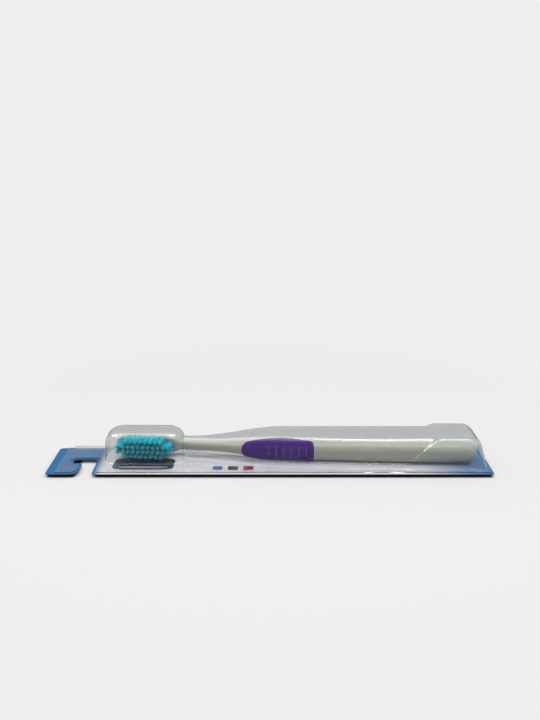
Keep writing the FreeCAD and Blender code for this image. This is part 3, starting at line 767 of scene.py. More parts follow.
@dataclass
class Handle:
    """The moulded handle: a flat head, a slim neck and a full shank, drawn along one bent axis.

    Places along it are distances from the head's tip. Each section has its place, its width, its
    depth, the radius of its corners and how far its middle is set back.
    """

    finish: MouldedPlastic = field(default_factory=MouldedPlastic)
    neck: Vector = field(default_factory=lambda: Vector((-45.0, 8.5, 6.5)) * MM)
    neck_at: float = 38.0 * MM
    tilt: float = math.radians(6.5)
    length: float = 191.9 * MM
    head_width: float = 11.2 * MM
    head_depth: float = 4.4 * MM
    head_round: float = 1.3 * MM
    tip_length: float = 10.0 * MM
    heel_at: float = 26.0 * MM
    round_to: float = 28.0 * MM
    flat_to: float = 30.0 * MM
    tail_at: float = 186.0 * MM
    sections: tuple[tuple[float, ...], ...] = (
        mm(38.0, 4.9, 5.0, 2.0, 8.5),
        mm(62.0, 6.1, 6.8, 2.7, 5.3),
        mm(75.5, 7.8, 8.4, 3.4, 3.0),
        mm(107.0, 10.1, 10.6, 4.4, 1.0),
        mm(151.0, 11.0, 10.8, 4.7, -1.1),
        mm(186.0, 10.2, 9.2, 4.0, -2.4),
    )
    points_round: int = 64
    tip_rings: int = 14
    tail_rings: int = 10
    fine_to: float = 42.0 * MM
    head_step: float = 2 * MM
    neck_step: float = 1 * MM
    shank_step: float = 3 * MM

    def __post_init__(self) -> None:
        """Makes the curves that the section follows."""
        places, widths, depths, edges, backs = zip(*self.sections)
        self.width_at = smooth(((self.heel_at, self.head_width), *zip(places, widths)))
        self.depth_at = smooth(((self.flat_to, self.head_depth), *zip(places, depths)))
        self.edge_at = smooth(((self.round_to, self.head_round), *zip(places, edges)))
        head = (0.0, self.neck.y + self.neck_at * math.tan(self.tilt))
        middle = (self.neck_at / 2, self.neck.y + self.neck_at / 2 * math.tan(self.tilt))
        self.back_at = smooth((head, middle, *zip(places, backs)))

    def centre(self, place: float) -> Vector:
        """The middle of the section at a place.

        Args:
            place: Distance from the head's tip.

        Returns:
            The point in the part's frame.
        """
        ahead = place - self.neck_at
        x = self.neck.x + ahead * (math.cos(self.tilt) if ahead < 0 else 1.0)
        return Vector((x, self.back_at(place), self.neck.z))

    def backward(self, place: float) -> Vector:
        """The way from the bristle side to the back of the section at a place.

        Args:
            place: Distance from the head's tip.

        Returns:
            The direction.
        """
        step = 0.5 * MM
        low, high = max(place - step, 0.0), min(place + step, self.length)
        ahead = (self.centre(high) - self.centre(low)).normalized()
        return Vector((-ahead.y, ahead.x, 0.0))

    def half_sizes(self, place: float) -> tuple[float, float, float]:
        """The size of the section at a place.

        Args:
            place: Distance from the head's tip.

        Returns:
            Half the depth, half the width and the corner radius.
        """
        half_depth, half_width = self.depth_at(place) / 2, self.width_at(place) / 2
        if place < self.tip_length:
            half_width *= math.sqrt(max(0.0, 1 - (1 - place / self.tip_length) ** 2))
        if place < self.head_round:
            half_depth -= self.head_round * (1 - math.sqrt(max(0.0, 1 - (1 - place / self.head_round) ** 2)))
        if place > self.tail_at:
            closing = math.sqrt(max(0.0, 1 - ((place - self.tail_at) / (self.length - self.tail_at)) ** 2))
            half_depth, half_width = half_depth * closing, half_width * closing
        return half_depth, half_width, min(self.edge_at(place), half_depth, half_width)

    def rim(self, place: float, angle: float) -> Pair:
        """The section's edge in a direction.

        Args:
            place: Distance from the head's tip.
            angle: 0 towards the bristle side, a quarter turn for up.

        Returns:
            How far the edge lies to the front and up from the section's middle.
        """
        half_depth, half_width, radius = self.half_sizes(place)
        front, up = math.cos(angle), math.sin(angle)
        a, b = abs(front), abs(up)
        flat_front, flat_up = half_depth - radius, half_width - radius
        if b * half_depth <= a * flat_up:
            reach = half_depth / max(a, 1e-9)
        elif a * half_width <= b * flat_front:
            reach = half_width / max(b, 1e-9)
        else:
            along = a * flat_front + b * flat_up
            off = flat_front**2 + flat_up**2 - radius**2
            reach = along + math.sqrt(max(0.0, along * along - off))
        return reach * front, reach * up

    def skin(self, place: float, angle: float, rise: float = 0.0) -> Vector:
        """A point on the handle's skin, or so far above it.

        Args:
            place: Distance from the head's tip.
            angle: 0 towards the bristle side, a quarter turn for up.
            rise: Height above the skin, away from the section's middle.

        Returns:
            The point in the part's frame.
        """
        front, up = self.rim(place, angle)
        reach = math.hypot(front, up)
        grown = (reach + rise) / reach if reach > 1e-7 else 1.0
        return self.centre(place) - self.backward(place) * (front * grown) + Vector((0.0, 0.0, up * grown))

    def build(self) -> None:
        """Makes the handle and hands it in."""
        quarter = math.pi / 2
        rings = range(self.tip_rings + 1)
        places = [self.tip_length * (1 - math.cos(quarter * n / self.tip_rings)) for n in rings]
        places += spaced(self.tip_length, self.heel_at, self.head_step)[1:]
        places += spaced(self.heel_at, self.fine_to, self.neck_step)[1:]
        places += spaced(self.fine_to, self.tail_at, self.shank_step)[1:]
        end = self.length - self.tail_at
        for n in range(1, self.tail_rings + 1):
            places.append(self.tail_at + end * math.sin(quarter * n / self.tail_rings))
        angles = [math.tau * n / self.points_round for n in range(self.points_round + 1)]
        piece = wrap_grid("moulded_handle", places, angles, self.skin)
        shade(piece, 50)
        dress(piece, self.finish.material())
        hand_in(piece, Body.BRUSH, "handle")


@dataclass
class BristleField:
    """The tufts of the head, each a bundle of filaments in place of its plain solid.

    Each row has its level above the head's middle line, its number of tufts and its first place,
    with level and place counted in pitches.
    """

    handle: Handle
    finish: BristleNylon = field(default_factory=BristleNylon)
    face_out: float = 2.2 * MM
    pitch: float = 2.7 * MM
    first_at: float = 3.4 * MM
    rows: tuple[tuple[float, int, float], ...] = (
        (-1.5, 8, 1.5),
        (-0.5, 11, 0.0),
        (0.5, 11, 0.0),
        (1.5, 8, 1.5),
    )
    toe_places: int = 2
    toe_rise: float = 0.7 * MM
    length: float = 9.4 * MM
    sunk: float = 0.4 * MM
    bundle_radius: float = 1.24 * MM
    tip_spread: float = 1.16 * MM
    spread_share: Pair = (0.88, 1.12)
    stray: float = 0.07 * MM
    dome: float = 0.13
    trim: Pair = (-0.012, 0.012)
    filaments: int = 80
    filament_radius: float = 0.115 * MM
    filament_sides: int = 5
    filament_rings: tuple[float, ...] = (0.45, 0.8, 0.965)
    filament_taper: float = 0.45
    seed: int = 7

    @property
    def forward(self) -> Vector:
        """The way the bristles point."""
        return Vector((-math.sin(self.handle.tilt), -math.cos(self.handle.tilt), 0.0))

    @property
    def heelward(self) -> Vector:
        """Along the head, from its tip to the neck."""
        return Vector((math.cos(self.handle.tilt), -math.sin(self.handle.tilt), 0.0))

    def mouth(self, place: float, across: float) -> Vector:
        """A point on the bristle face.

        Args:
            place: Distance from the head's tip.
            across: Distance above the head's middle line.

        Returns:
            The point in the part's frame.
        """
        along = self.handle.neck + self.heelward * (place - self.handle.neck_at)
        return along + self.forward * self.face_out + Vector((0.0, 0.0, across))

    def filament(self) -> Piece:
        """Models one filament along +Z, from 0 to 1 in height, with a rounded tip.

        Returns:
            The filament.
        """
        deselect()
        bpy.ops.mesh.primitive_cylinder_add(
            vertices=self.filament_sides, radius=self.filament_radius, depth=1.0, location=(0, 0, 0.5)
        )
        piece = bpy.context.object
        settle(piece)
        cut_rings(piece, (0, 0, 1), self.filament_rings)
        for vertex in piece.data.vertices:
            vertex.select = vertex.co.z > 0.99
        bpy.ops.object.mode_set(mode="EDIT")
        bpy.ops.transform.resize(value=(self.filament_taper, self.filament_taper, 1.0))
        bpy.ops.object.mode_set(mode="OBJECT")
        return piece

    def tuft(self, tag: str, pattern: Piece, place: float, across: float) -> Piece:
        """Copies the filament into one bundle.

        Args:
            tag: Row and number of the tuft.
            pattern: The modelled filament.
            place: The tuft's distance from the head's tip.
            across: The tuft's height above the head's middle line.

        Returns:
            The tuft.
        """
        draw = random.Random(f"{self.seed} {tag}")
        toe = place < self.first_at + self.toe_places * self.pitch - TOUCH
        reach = self.length + (self.toe_rise if toe else 0.0) + self.sunk
        base = self.mouth(place, across) - self.forward * self.sunk
        side, up = self.heelward, Vector((0.0, 0.0, 1.0))
        shape = bmesh.new()
        golden = math.pi * (3.0 - math.sqrt(5.0))
        turn = draw.uniform(0.0, math.tau)
        for n in range(self.filaments):
            share = math.sqrt((n + 0.5) / self.filaments)
            angle = turn + n * golden
            spread = self.tip_spread * share * draw.uniform(*self.spread_share)
            start = math.cos(angle) * self.bundle_radius * share, math.sin(angle) * self.bundle_radius * share
            stray = draw.gauss(0.0, self.stray), draw.gauss(0.0, self.stray)
            finish = math.cos(angle) * spread + stray[0], math.sin(angle) * spread + stray[1]
            tall = reach * (1.0 - self.dome * share * share + draw.uniform(*self.trim))
            first = len(shape.verts)
            shape.from_mesh(pattern.data)
            shape.verts.ensure_lookup_table()
            for vertex in shape.verts[first:]:
                t = vertex.co.z
                bend = t * t
                x = vertex.co.x + start[0] + (finish[0] - start[0]) * bend
                y = vertex.co.y + start[1] + (finish[1] - start[1]) * bend
                vertex.co = base + side * x + up * y + self.forward * (t * tall)
        mesh = bpy.data.meshes.new(f"filaments_{tag}")
        bmesh.ops.recalc_face_normals(shape, faces=shape.faces)
        shape.to_mesh(mesh)
        shape.free()
        piece = bpy.data.objects.new(f"filaments_{tag}", mesh)
        bpy.context.scene.collection.objects.link(piece)
        for face in mesh.polygons:
            face.use_smooth = len(face.vertices) == 4
        return piece

    def build(self) -> None:
        """Makes every tuft and hands it in."""
        material = self.finish.material(self.mouth(self.handle.neck_at, 0.0), self.forward, self.length)
        pattern = self.filament()
        for row, (level, count, start) in enumerate(self.rows, start=1):
            for n in range(count):
                tag = f"{row}_{n + 1:02d}"
                piece = self.tuft(tag, pattern, self.first_at + (start + n) * self.pitch, level * self.pitch)
                dress(piece, material)
                hand_in(piece, Body.BRUSH, f"bristle_tuft_{tag}")
        bpy.data.objects.remove(pattern)


@dataclass
class ThumbGrip:
    """The soft grip moulded round the front of the handle, with a ribbed thumb dish.

    Places are distances from the head's tip, and angles go round the handle from its front.
    """

    handle: Handle
    finish: GripRubber = field(default_factory=GripRubber)
    start: float = 68.9 * MM
    end: float = 106.6 * MM
    nose: float = 12.0 * MM
    nose_power: float = 2.3
    heel: float = 3.0 * MM
    heel_power: float = 2.6
    upper_wrap: Stations = angles_along((80.0, 110), (87.0, 128), (92.0, 124), (99.0, 96), (106.0, 78))
    lower_wrap: Stations = angles_along((80.0, 104), (100.0, 108))
    proud: float = 0.7 * MM
    sunk: float = 0.35 * MM
    edge: float = 1.1 * MM
    thickness: float = 0.5 * MM
    upper_bulge: Stations = lengths_along((71.0, 0.0), (82.0, 0.75), (91.0, 0.75), (104.0, 0.0))
    lower_bulge: Stations = lengths_along((70.0, 0.0), (79.0, 0.75), (84.0, 0.62), (92.0, 0.3), (104.0, 0.0))
    dish_depth: float = 0.6 * MM
    dish_slope: float = 1.3 * MM
    dish_ends: Pair = mm(72.5, 105.0)
    dish_foot: Stations = angles_along((70.0, 24), (78.0, -8), (88.0, -24), (105.0, -34))
    dish_foot_steepness: float = 1.6
    dish_top: float = math.radians(56)
    ribs: int = 6
    rib_pitch: float = 3.95 * MM
    last_rib: float = 102.3 * MM
    rib_height: float = 0.42 * MM
    rib_half: float = 0.7 * MM
    rib_reach: Pair = (math.radians(-26), math.radians(36))
    rib_fade: float = math.radians(9)
    nose_fine: float = 2 * MM
    nose_rings: int = 12
    heel_fine: float = 1.2 * MM
    heel_rings: int = 10
    ring_step: float = 0.26 * MM
    half_points: int = 48

    def __post_init__(self) -> None:
        """Makes the curves that the grip follows."""
        self.wrap_at = {True: smooth(self.upper_wrap), False: smooth(self.lower_wrap)}
        self.bulge_at = {True: smooth(self.upper_bulge), False: smooth(self.lower_bulge)}
        self.foot_at = smooth(self.dish_foot)

    def wrap(self, place: float, upper: bool) -> float:
        """How far round the handle the grip reaches.

        Args:
            place: Distance from the head's tip.
            upper: Whether its upper edge is meant, and not the lower one.

        Returns:
            The angle from the grip's front to that edge.
        """
        near, far = place - self.start, self.end - place
        share = 1.0
        if near < self.nose:
            share *= (1 - (1 - near / self.nose) ** self.nose_power) ** (1 / self.nose_power)
        if far < self.heel:
            share *= (1 - (1 - far / self.heel) ** self.heel_power) ** (1 / self.heel_power)
        return self.wrap_at[upper](place) * max(share, 1e-4)

    def rib(self, place: float, angle: float) -> float:
        """How much of a rib stands at a point.

        Args:
            place: Distance from the head's tip.
            angle: Angle from the grip's front.

        Returns:
            From 0 beside the ribs to 1 on the top of one.
        """
        nearest = min(abs(place - self.last_rib + n * self.rib_pitch) for n in range(self.ribs))
        if nearest > self.rib_half:
            return 0.0
        low, high = self.rib_reach
        inside = min(angle - low, high - angle) / self.rib_fade
        return math.cos(math.pi / 2 * nearest / self.rib_half) ** 2 * min(max(inside, 0.0), 1.0)

    def dish(self, place: float, angle: float) -> float:
        """How deep the dish is at a point.

        Args:
            place: Distance from the head's tip.
            angle: Angle from the grip's front.

        Returns:
            From 0 outside the dish to 1 on its floor.
        """
        radius = math.hypot(*self.handle.rim(place, angle))
        inside = min(
            (angle - self.foot_at(place)) * radius * self.dish_foot_steepness,
            (self.dish_top - angle) * radius,
            place - self.dish_ends[0],
            self.dish_ends[1] - place,
        )
        t = min(max(inside / self.dish_slope, 0.0), 1.0)
        return t * t * (3 - 2 * t)

    def skin(self, place: float, share: float) -> Vector:
        """A point on the grip's skin.

        Args:
            place: Distance from the head's tip.
            share: From -1 at the lower edge to 1 at the upper one.

        Returns:
            The point in the part's frame.
        """
        wrap = self.wrap(place, share > 0)
        angle = share * wrap
        radius = math.hypot(*self.handle.rim(place, angle))
        inside = min((1 - abs(share)) * wrap * radius, self.end - place)
        t = min(inside / self.edge, 1.0)
        rise = -self.sunk + (self.sunk + self.proud) * math.sqrt(1 - (1 - t) ** 2)
        rise += self.rib_height * self.rib(place, angle) - self.dish_depth * self.dish(place, angle)
        rise += self.bulge_at[share > 0](place) * math.sin(angle) ** 2 * t
        return self.handle.skin(place, angle, rise)

    def mark_ribs(self, piece: Piece) -> None:
        """Stores how much each point belongs to a rib, for the highlight painted on the ribs.

        Args:
            piece: The grip.
        """
        marks = piece.data.attributes.new(GripRubber.mark, "FLOAT", "POINT")
        for vertex, mark in zip(piece.data.vertices, marks.data):
            place = vertex.co.x - self.handle.neck.x + self.handle.neck_at
            out = vertex.co - self.handle.centre(place)
            mark.value = self.rib(place, math.atan2(out.z, -out.dot(self.handle.backward(place))))

    def build(self) -> None:
        """Makes the grip and hands it in."""
        places = [self.start + self.nose_fine * (n / self.nose_rings) ** 2 for n in range(self.nose_rings)]
        places += spaced(self.start + self.nose_fine, self.end - self.heel_fine, self.ring_step)
        for n in range(1, self.heel_rings + 1):
            places.append(self.end - self.heel_fine * (1 - n / self.heel_rings) ** 2)
        points = range(-self.half_points, self.half_points + 1)
        shares = [math.sin(math.pi / 2 * n / self.half_points) for n in points]
        piece = wrap_grid("soft_grip", places, shares, self.skin)
        finish_with(piece, "SOLIDIFY", thickness=self.thickness, offset=-1.0)
        shade(piece, 60)
        self.mark_ribs(piece)
        dress(piece, self.finish.material())
        hand_in(piece, Body.BRUSH, "thumb_grip")


@dataclass
class Anchors:
    """The brass anchors that hold the tufts, as packed."""

    finish: AnchorBrass = field(default_factory=AnchorBrass)

    def build(self, nodes: dict[str, Piece]) -> None:
        """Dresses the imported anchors, which the CAD nodes hold by name."""
        dress(nodes["tuft_anchors"], self.finish.material())
        LOG.info("tuft_anchors: dressed on %s", Body.BRUSH.value)


@dataclass
class Card:
    """The printed card, as packed."""

    finish: PrintedBoard = field(default_factory=PrintedBoard)

    def build(self, nodes: dict[str, Piece]) -> None:
        """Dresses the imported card, which the CAD nodes hold by name."""
        dress(nodes["backing_card"], self.finish.material())
        LOG.info("backing_card: dressed on %s", Body.CARD.value)


@dataclass
class Blister:
    """The clear blister: one sheet drawn over a dome, the handle's cover and the end block."""

    finish: ClearSheet = field(default_factory=ClearSheet)
    card_top: float = 0.5 * MM
    clear: float = 0.03 * MM
    sheet: float = 0.35 * MM
    flange_low: Pair = mm(-110.6, -16.4)
    flange_high: Pair = mm(113.8, 17.7)
    flange_round: float = 1.8 * MM
    mouth: Pair = mm(-100.0, -89.8)
    pocket: Pair = mm(-5.0, 3.0)
    pocket_end: float = -105.2 * MM
    pocket_round: float = 3.4 * MM
    dome_low: Pair = mm(-87.4, -5.6)
    dome_high: Pair = mm(-45.4, 16.9)
    dome_height: float = 16.0 * MM
    dome_draft: float = 0.9 * MM
    dome_round: float = 6.4 * MM
    dome_top_round: float = 5.4 * MM
    dome_stretch: float = 1.36
    cover_ends: Pair = mm(-63.0, 99.0)
    cover_front: Stations = lengths_along(
        (-63.0, 2.4), (-41.0, 2.4), (-24.0, -1.6), (7.0, -8.2), (68.0, -11.6), (99.0, -11.2)
    )
    cover_back: Stations = lengths_along((-41.0, 13.2), (7.0, 16.4))
    cover_height: Stations = lengths_along((-41.0, 10.6), (7.0, 14.9))
    cover_front_lean: float = 2.6 / 14.9
    cover_draft: float = 0.9 * MM
    cover_round: float = 3.4 * MM
    ledge_ends: Pair = mm(-58.0, 84.0)
    ledge_height: float = 2.9 * MM
    ledge_width: float = 1.0 * MM
    ledge_depth: float = 3 * MM
    section_step: float = 4 * MM
    block_low: Pair = mm(67.5, -12.6)
    block_high: Pair = mm(113.4, 16.9)
    block_near_slope: float = 19.5 * MM
    block_far_slope: float = 4.6 * MM
    block_draft: float = 1.3 * MM
    block_height: float = 16.1 * MM
    block_round: float = 2.2 * MM
    block_end_round: float = 5.0 * MM
    lip_height: float = 1.1 * MM
    lip_round: float = 0.12 * MM
    blank_margin: float = 3 * MM
    blank_foot: float = -4 * MM
    trim_under: float = 0.4 * MM
    grain: float = 0.4 * MM
    softening: int = 6
    thinning: float = 0.5

    @property
    def land(self) -> float:
        """Height of the flange's upper face."""
        return self.card_top + self.clear + self.sheet

    def dome(self) -> Piece:
        """Models the dome over the head, rounded on a short form that is then stretched.

        Returns:
            The solid.
        """
        top = self.card_top + self.dome_height
        middle = (self.dome_low[0] + self.dome_high[0]) / 2
        length, width = (b - a for a, b in zip(self.dome_low, self.dome_high))
        half = length / self.dome_stretch / 2
        low = (middle - half, self.dome_low[1], self.card_top)
        piece = box("dome", low, (middle + half, self.dome_high[1], top))
        lean = 2 * self.dome_draft
        resize(piece, lambda centre, normal: normal.z > 0.9, (1 - lean / length, 1 - lean / width, 1.0))
        bevel(piece, self.dome_round, 10, lambda a, b: abs(a.z - b.z) > self.dome_height / 2)
        bevel(piece, self.dome_top_round, 10, lambda a, b: min(a.z, b.z) > top - TOUCH)
        foot = (middle, 0.0, self.card_top)
        resize(piece, lambda centre, normal: True, (self.dome_stretch, 1.0, 1.0), center_override=foot)
        return piece

    def loft(self, name: str, ends: Pair, section: Callable[[float, float], Point]) -> Piece:
        """Models a form along X whose section changes.

        Args:
            name: Name of the object.
            ends: Where the form starts and ends.
            section: Its front, back and height above the card, from the place along X and from 0
                at the foot or 1 at the top.

        Returns:
            The solid.
        """
        low, high = ends
        piece = box(name, (low, -1 * MM, 0.0), (high, 1 * MM, 1 * MM))
        cut_rings(piece, (1, 0, 0), spaced(low, high, self.section_step)[1:-1])
        for vertex in piece.data.vertices:
            x, y, z = vertex.co
            front, back, height = section(x, 1.0 if z > 0.5 * MM else 0.0)
            vertex.co.y = front if y < 0 else back
            vertex.co.z = self.card_top + height
        return piece

    def cover(self) -> Piece:
        """Models the cover over the handle.

        Returns:
            The solid.
        """
        front, back, height = smooth(self.cover_front), smooth(self.cover_back), smooth(self.cover_height)
        piece = self.loft(
            "cover",
            self.cover_ends,
            lambda x, top: (
                front(x) + self.cover_front_lean * height(x) * top,
                back(x) - self.cover_draft * top,
                height(x) * top,
            ),
        )
        least = self.card_top + min(value for _, value in self.cover_height) / 2
        bevel(piece, self.cover_round, 6, lambda a, b: min(a.z, b.z) > least and abs(a.x - b.x) > 1 * MM)
        return piece

    def ledge(self) -> Piece:
        """Models the low ledge along the foot of the cover's front wall.

        Returns:
            The solid.
        """
        front = smooth(self.cover_front)
        inset = self.cover_front_lean * self.ledge_height - self.ledge_width
        return self.loft(
            "ledge",
            self.ledge_ends,
            lambda x, top: (front(x) + inset * top, front(x) + self.ledge_depth, self.ledge_height * top),
        )

    def block(self) -> Piece:
        """Models the raised end block.

        Returns:
            The solid.
        """
        top = self.card_top + self.block_height
        piece = box("block", (*self.block_low, self.card_top), (*self.block_high, top))
        middle = (self.block_low[0] + self.block_high[0]) / 2
        for vertex in piece.data.vertices:
            if vertex.co.z > self.card_top + self.block_height / 2:
                near = vertex.co.x < middle
                vertex.co.x += self.block_near_slope if near else -self.block_far_slope
                vertex.co.y += self.block_draft if vertex.co.y < 0 else -self.block_draft
        weights = piece.data.attributes.new("bevel_weight_edge", "FLOAT", "EDGE")
        for edge in piece.data.edges:
            a, b = (piece.data.vertices[n].co for n in edge.vertices)
            if max(a.z, b.z) > top - TOUCH:
                far = min(a.x, b.x) > middle
                weights.data[edge.index].value = 1.0 if far else self.block_round / self.block_end_round
        finish_with(piece, "BEVEL", width=self.block_end_round, segments=8, limit_method="WEIGHT")
        return piece

    def outline(self) -> Piece:
        """Models the flange's outline, with the gap round the hang notch, as an upright prism.

        Returns:
            The solid.
        """
        deep, tall, before = -8 * MM, 22 * MM, -40 * MM
        (left, front), (right, back) = self.flange_low, self.flange_high
        inner, outer = self.mouth
        near, far = self.pocket
        piece = box("outline", (left, front, deep), (right, back, tall))
        mouth = box("mouth", (inner, before, 2 * deep), (outer, far, 2 * tall))
        pocket = box("pocket", (self.pocket_end, near, 2 * deep), (outer, far, 2 * tall))
        for cutter in (mouth, pocket):
            finish_with(piece, "BOOLEAN", operation="DIFFERENCE", object=cutter, solver="EXACT")
            bpy.data.objects.remove(cutter)
        for x, y in ((left, front), (left, back), (right, front), (right, back)):
            bevel(piece, self.flange_round, 6, upright_at(x, y))
        for x, y in ((self.pocket_end, near), (self.pocket_end, far), (outer, far)):
            bevel(piece, self.pocket_round, 8, upright_at(x, y))
        bevel(piece, self.flange_round, 6, upright_at(outer, front))
        bevel(piece, 2 * self.flange_round, 8, upright_at(inner, front))
        return piece

    def draw(self) -> Piece:
        """Draws one sheet over the joined forms and trims it to the flange's outline.

        Returns:
            The sheet.
        """
        (left, front), (right, back) = self.flange_low, self.flange_high
        low = (left - self.blank_margin, front - self.blank_margin, self.blank_foot)
        high = (right + self.blank_margin, back + self.blank_margin, self.land)
        land = box("clear_blister", low, high)
        forms = [land, self.dome(), self.cover(), self.ledge(), self.block()]
        activate(land)
        for form in forms:
            form.select_set(True)
        bpy.ops.object.join()
        finish_with(land, "REMESH", mode="VOXEL", voxel_size=self.grain)
        finish_with(land, "SMOOTH", factor=0.5, iterations=self.softening)
        pick(land, Pick.FACES, lambda centre, normal: centre.z < self.land - self.trim_under)
        bpy.ops.mesh.delete(type="FACE")
        bpy.ops.object.mode_set(mode="OBJECT")
        finish_with(land, "DECIMATE", ratio=self.thinning)
        finish_with(land, "SOLIDIFY", thickness=self.sheet, offset=-1.0)
        outline = self.outline()
        finish_with(land, "BOOLEAN", operation="INTERSECT", object=outline, solver="MANIFOLD")
        bpy.data.objects.remove(outline)
        return land

    def lip(self) -> Piece:
        """Models the upturned lip along the back of the flange.

        Returns:
            The lip.
        """
        back, top = self.flange_high[1], self.land + self.lip_height
        inset = 2 * self.flange_round
        low = (self.flange_low[0] + inset, back - self.sheet, self.land)
        piece = box("blister_lip", low, (self.flange_high[0] - inset, back, top))
        bevel(piece, self.lip_round, 3, lambda a, b: min(a.z, b.z) > self.land + self.lip_height / 2)
        return piece

    def build(self) -> list[Piece]:
        """Makes the blister and its lip and hands them in.

        Returns:
            Both pieces.
        """
        material = self.finish.material()
        pieces = [self.draw(), self.lip()]
        for piece in pieces:
            shade(piece, 40)
            dress(piece, material)
            piece.visible_shadow = False
            hand_in(piece, Body.BLISTER, "blister")
        return pieces


# Studio


@dataclass(frozen=True)
class Lamp:
    """A soft rectangular lamp, with its place, the point that it faces, its size and its watts.

    A lamp for the clear pieces only gives them a highlight and leaves all the others unlit.
    """

    name: str
    place: Point
    aim: Point
    size: Pair
    power: float
    clear_only: bool = True

    def hang(self, clear: Sequence[Piece]) -> None:
        """Hangs the lamp.

        Args:
            clear: The clear pieces.
        """
        data = bpy.data.lights.new(self.name, "AREA")
        data.shape = "RECTANGLE"
        data.size, data.size_y = self.size
        data.energy = self.power
        lamp = bpy.data.objects.new(self.name, data)
        lamp.location = self.place
        lamp.rotation_euler = (Vector(self.aim) - Vector(self.place)).to_track_quat("-Z", "Y").to_euler()
        if self.clear_only:
            data.cycles.max_bounces = 0
            lamp.visible_transmission = False
            lamp.visible_diffuse = False
            group = bpy.data.collections.new(f"{self.name}_lit")
            for piece in clear:
                group.objects.link(piece)
            lamp.light_linking.receiver_collection = group
        bpy.context.scene.collection.objects.link(lamp)


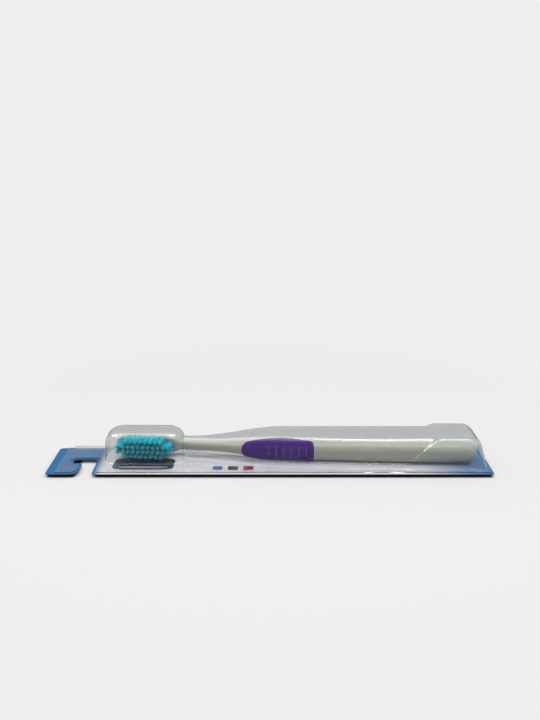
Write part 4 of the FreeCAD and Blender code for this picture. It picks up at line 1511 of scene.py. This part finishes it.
@dataclass
class Studio:
    """Pale floor, soft light and the camera."""

    paper: float = 0.863
    mirrored: float = 0.05
    world_strength: float = 0.62
    floor_size: float = 30.0
    floor_drop: float = 1.5 * MM
    floor_colour: Colour = (0.745, 0.745, 0.745)
    floor_fade: Pair = (0.14, 0.30)
    contact_colour: Colour = (0.03, 0.03, 0.03)
    contact_fade: Pair = mm(1.5, 0.2)
    card_half: Pair = mm(115.0, 18.0)
    notch_at: float = -95.0 * MM
    notch_fade: Pair = mm(4.0, 6.5)
    camera_place: Point = (0.00018, -0.4245, 0.176)
    camera_pitch: float = 90 - 15.78
    camera_lens: float = 43.0
    camera_sensor: float = 36.0
    camera_clip: Pair = (0.01, 60.0)
    lamps: tuple[Lamp, ...] = (
        Lamp("overhead", (0.0, -0.05, 0.80), (0.0, 0.0, 0.0), (1.3, 0.62), 5.3, clear_only=False),
        Lamp("head_strip", (-0.10, 0.22, 0.56), (-0.03, 0.0, 0.0), (0.44, 0.34), 1.6),
        Lamp("handle_strip", (0.15, 0.19, 0.56), (0.05, 0.0, 0.0), (0.20, 0.46), 2.4),
        Lamp("corner", (-0.68, 0.34, 0.88), (0.08, 0.0, 0.0), (0.48, 0.48), 6.6),
    )

    def contact(self, nodes: Nodes) -> Socket:
        """The floor's colour, with a dark contact shade right under the card.

        Args:
            nodes: The floor's nodes.

        Returns:
            The colour.
        """
        beside = nodes.math("ABSOLUTE", nodes.along((1, 0, 0), (self.notch_at, 0, 0)))
        share = nodes.fade(beside, *self.notch_fade)
        for axis, reach in zip(((1, 0, 0), (0, 1, 0)), self.card_half):
            away = nodes.math("ABSOLUTE", nodes.along(axis))
            inside = nodes.fade(away, *(reach - inset for inset in self.contact_fade), 1.0, 0.0)
            share = nodes.math("MULTIPLY", share, inside)
        return nodes.mix(share, self.floor_colour, self.contact_colour)

    def floor(self) -> None:
        """Lays a wide pale floor that turns into an even backdrop away from the part."""
        deselect()
        bpy.ops.mesh.primitive_plane_add(size=self.floor_size, location=(0, 0, -self.floor_drop))
        piece = bpy.context.object
        piece.name = "floor"
        settle(piece)
        nodes = Nodes("floor_paper")
        nodes.set(Base_Color=self.contact(nodes), Roughness=0.9, Specular_IOR_Level=0.0)
        path = nodes.add("ShaderNodeLightPath")
        through = path.outputs["Is Transmission Ray"]
        seen = nodes.math("MAXIMUM", path.outputs["Is Camera Ray"], through)
        mirror = nodes.math("SUBTRACT", path.outputs["Is Glossy Ray"], through, clamp=True)
        glow = nodes.add("ShaderNodeEmission")
        nodes.link(nodes.fade(mirror, 0.0, 1.0, self.paper, self.mirrored), glow.inputs["Strength"])
        reach = nodes.add("ShaderNodeVectorMath", operation="LENGTH")
        nodes.link(nodes.spot, reach.inputs[0])
        far = nodes.math("MULTIPLY", nodes.fade(reach.outputs["Value"], *self.floor_fade), seen)
        blend = nodes.add("ShaderNodeMixShader")
        nodes.link(nodes.math("MAXIMUM", far, mirror), blend.inputs[0])
        nodes.link(nodes.shader.outputs[0], blend.inputs[1])
        nodes.link(glow.outputs[0], blend.inputs[2])
        nodes.link(blend.outputs[0], nodes.tree.nodes["Material Output"].inputs["Surface"])
        dress(piece, nodes.material)

    def world(self) -> None:
        """Fills the surroundings with soft light, dim in reflections and paper white to the camera."""
        world = bpy.data.worlds.new("studio")
        bpy.context.scene.world = world
        world.use_nodes = True
        tree = world.node_tree
        background = tree.nodes["Background"]
        background.inputs["Color"].default_value = (1.0, 1.0, 1.0, 1.0)
        path = tree.nodes.new("ShaderNodeLightPath")
        level: Socket | None = None
        for name, strength in (
            ("Is Glossy Ray", self.mirrored),
            ("Is Transmission Ray", self.paper),
            ("Is Camera Ray", self.paper),
        ):
            step = tree.nodes.new("ShaderNodeMapRange")
            tree.links.new(path.outputs[name], step.inputs["Value"])
            if level is None:
                step.inputs["To Min"].default_value = self.world_strength
            else:
                tree.links.new(level, step.inputs["To Min"])
            step.inputs["To Max"].default_value = strength
            level = step.outputs["Result"]
        tree.links.new(level, background.inputs["Strength"])

    def camera(self) -> None:
        """Sets the camera where the photograph was taken from."""
        data = bpy.data.cameras.new("camera")
        data.sensor_width = self.camera_sensor
        data.lens = self.camera_lens
        data.clip_start, data.clip_end = self.camera_clip
        camera = bpy.data.objects.new("camera", data)
        camera.location = self.camera_place
        camera.rotation_euler = (math.radians(self.camera_pitch), 0.0, 0.0)
        bpy.context.scene.collection.objects.link(camera)
        bpy.context.scene.camera = camera

    def build(self, clear: Sequence[Piece]) -> None:
        """Sets up the whole studio.

        Args:
            clear: The clear pieces, which get highlights of their own.
        """
        self.floor()
        self.world()
        for lamp in self.lamps:
            lamp.hang(clear)
        self.camera()
        bpy.context.scene.view_settings.view_transform = "Standard"


def main() -> None:
    """Builds the dressed part and the studio."""
    logging.basicConfig(level=logging.INFO, format="%(name)s: %(message)s")
    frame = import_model()
    nodes = frame["nodes"]
    Card().build(nodes)
    clear = Blister().build()
    handle = Handle()
    handle.build()
    ThumbGrip(handle).build()
    Anchors().build(nodes)
    BristleField(handle).build()
    Studio().build(clear)


if __name__ == "__main__":
    main()
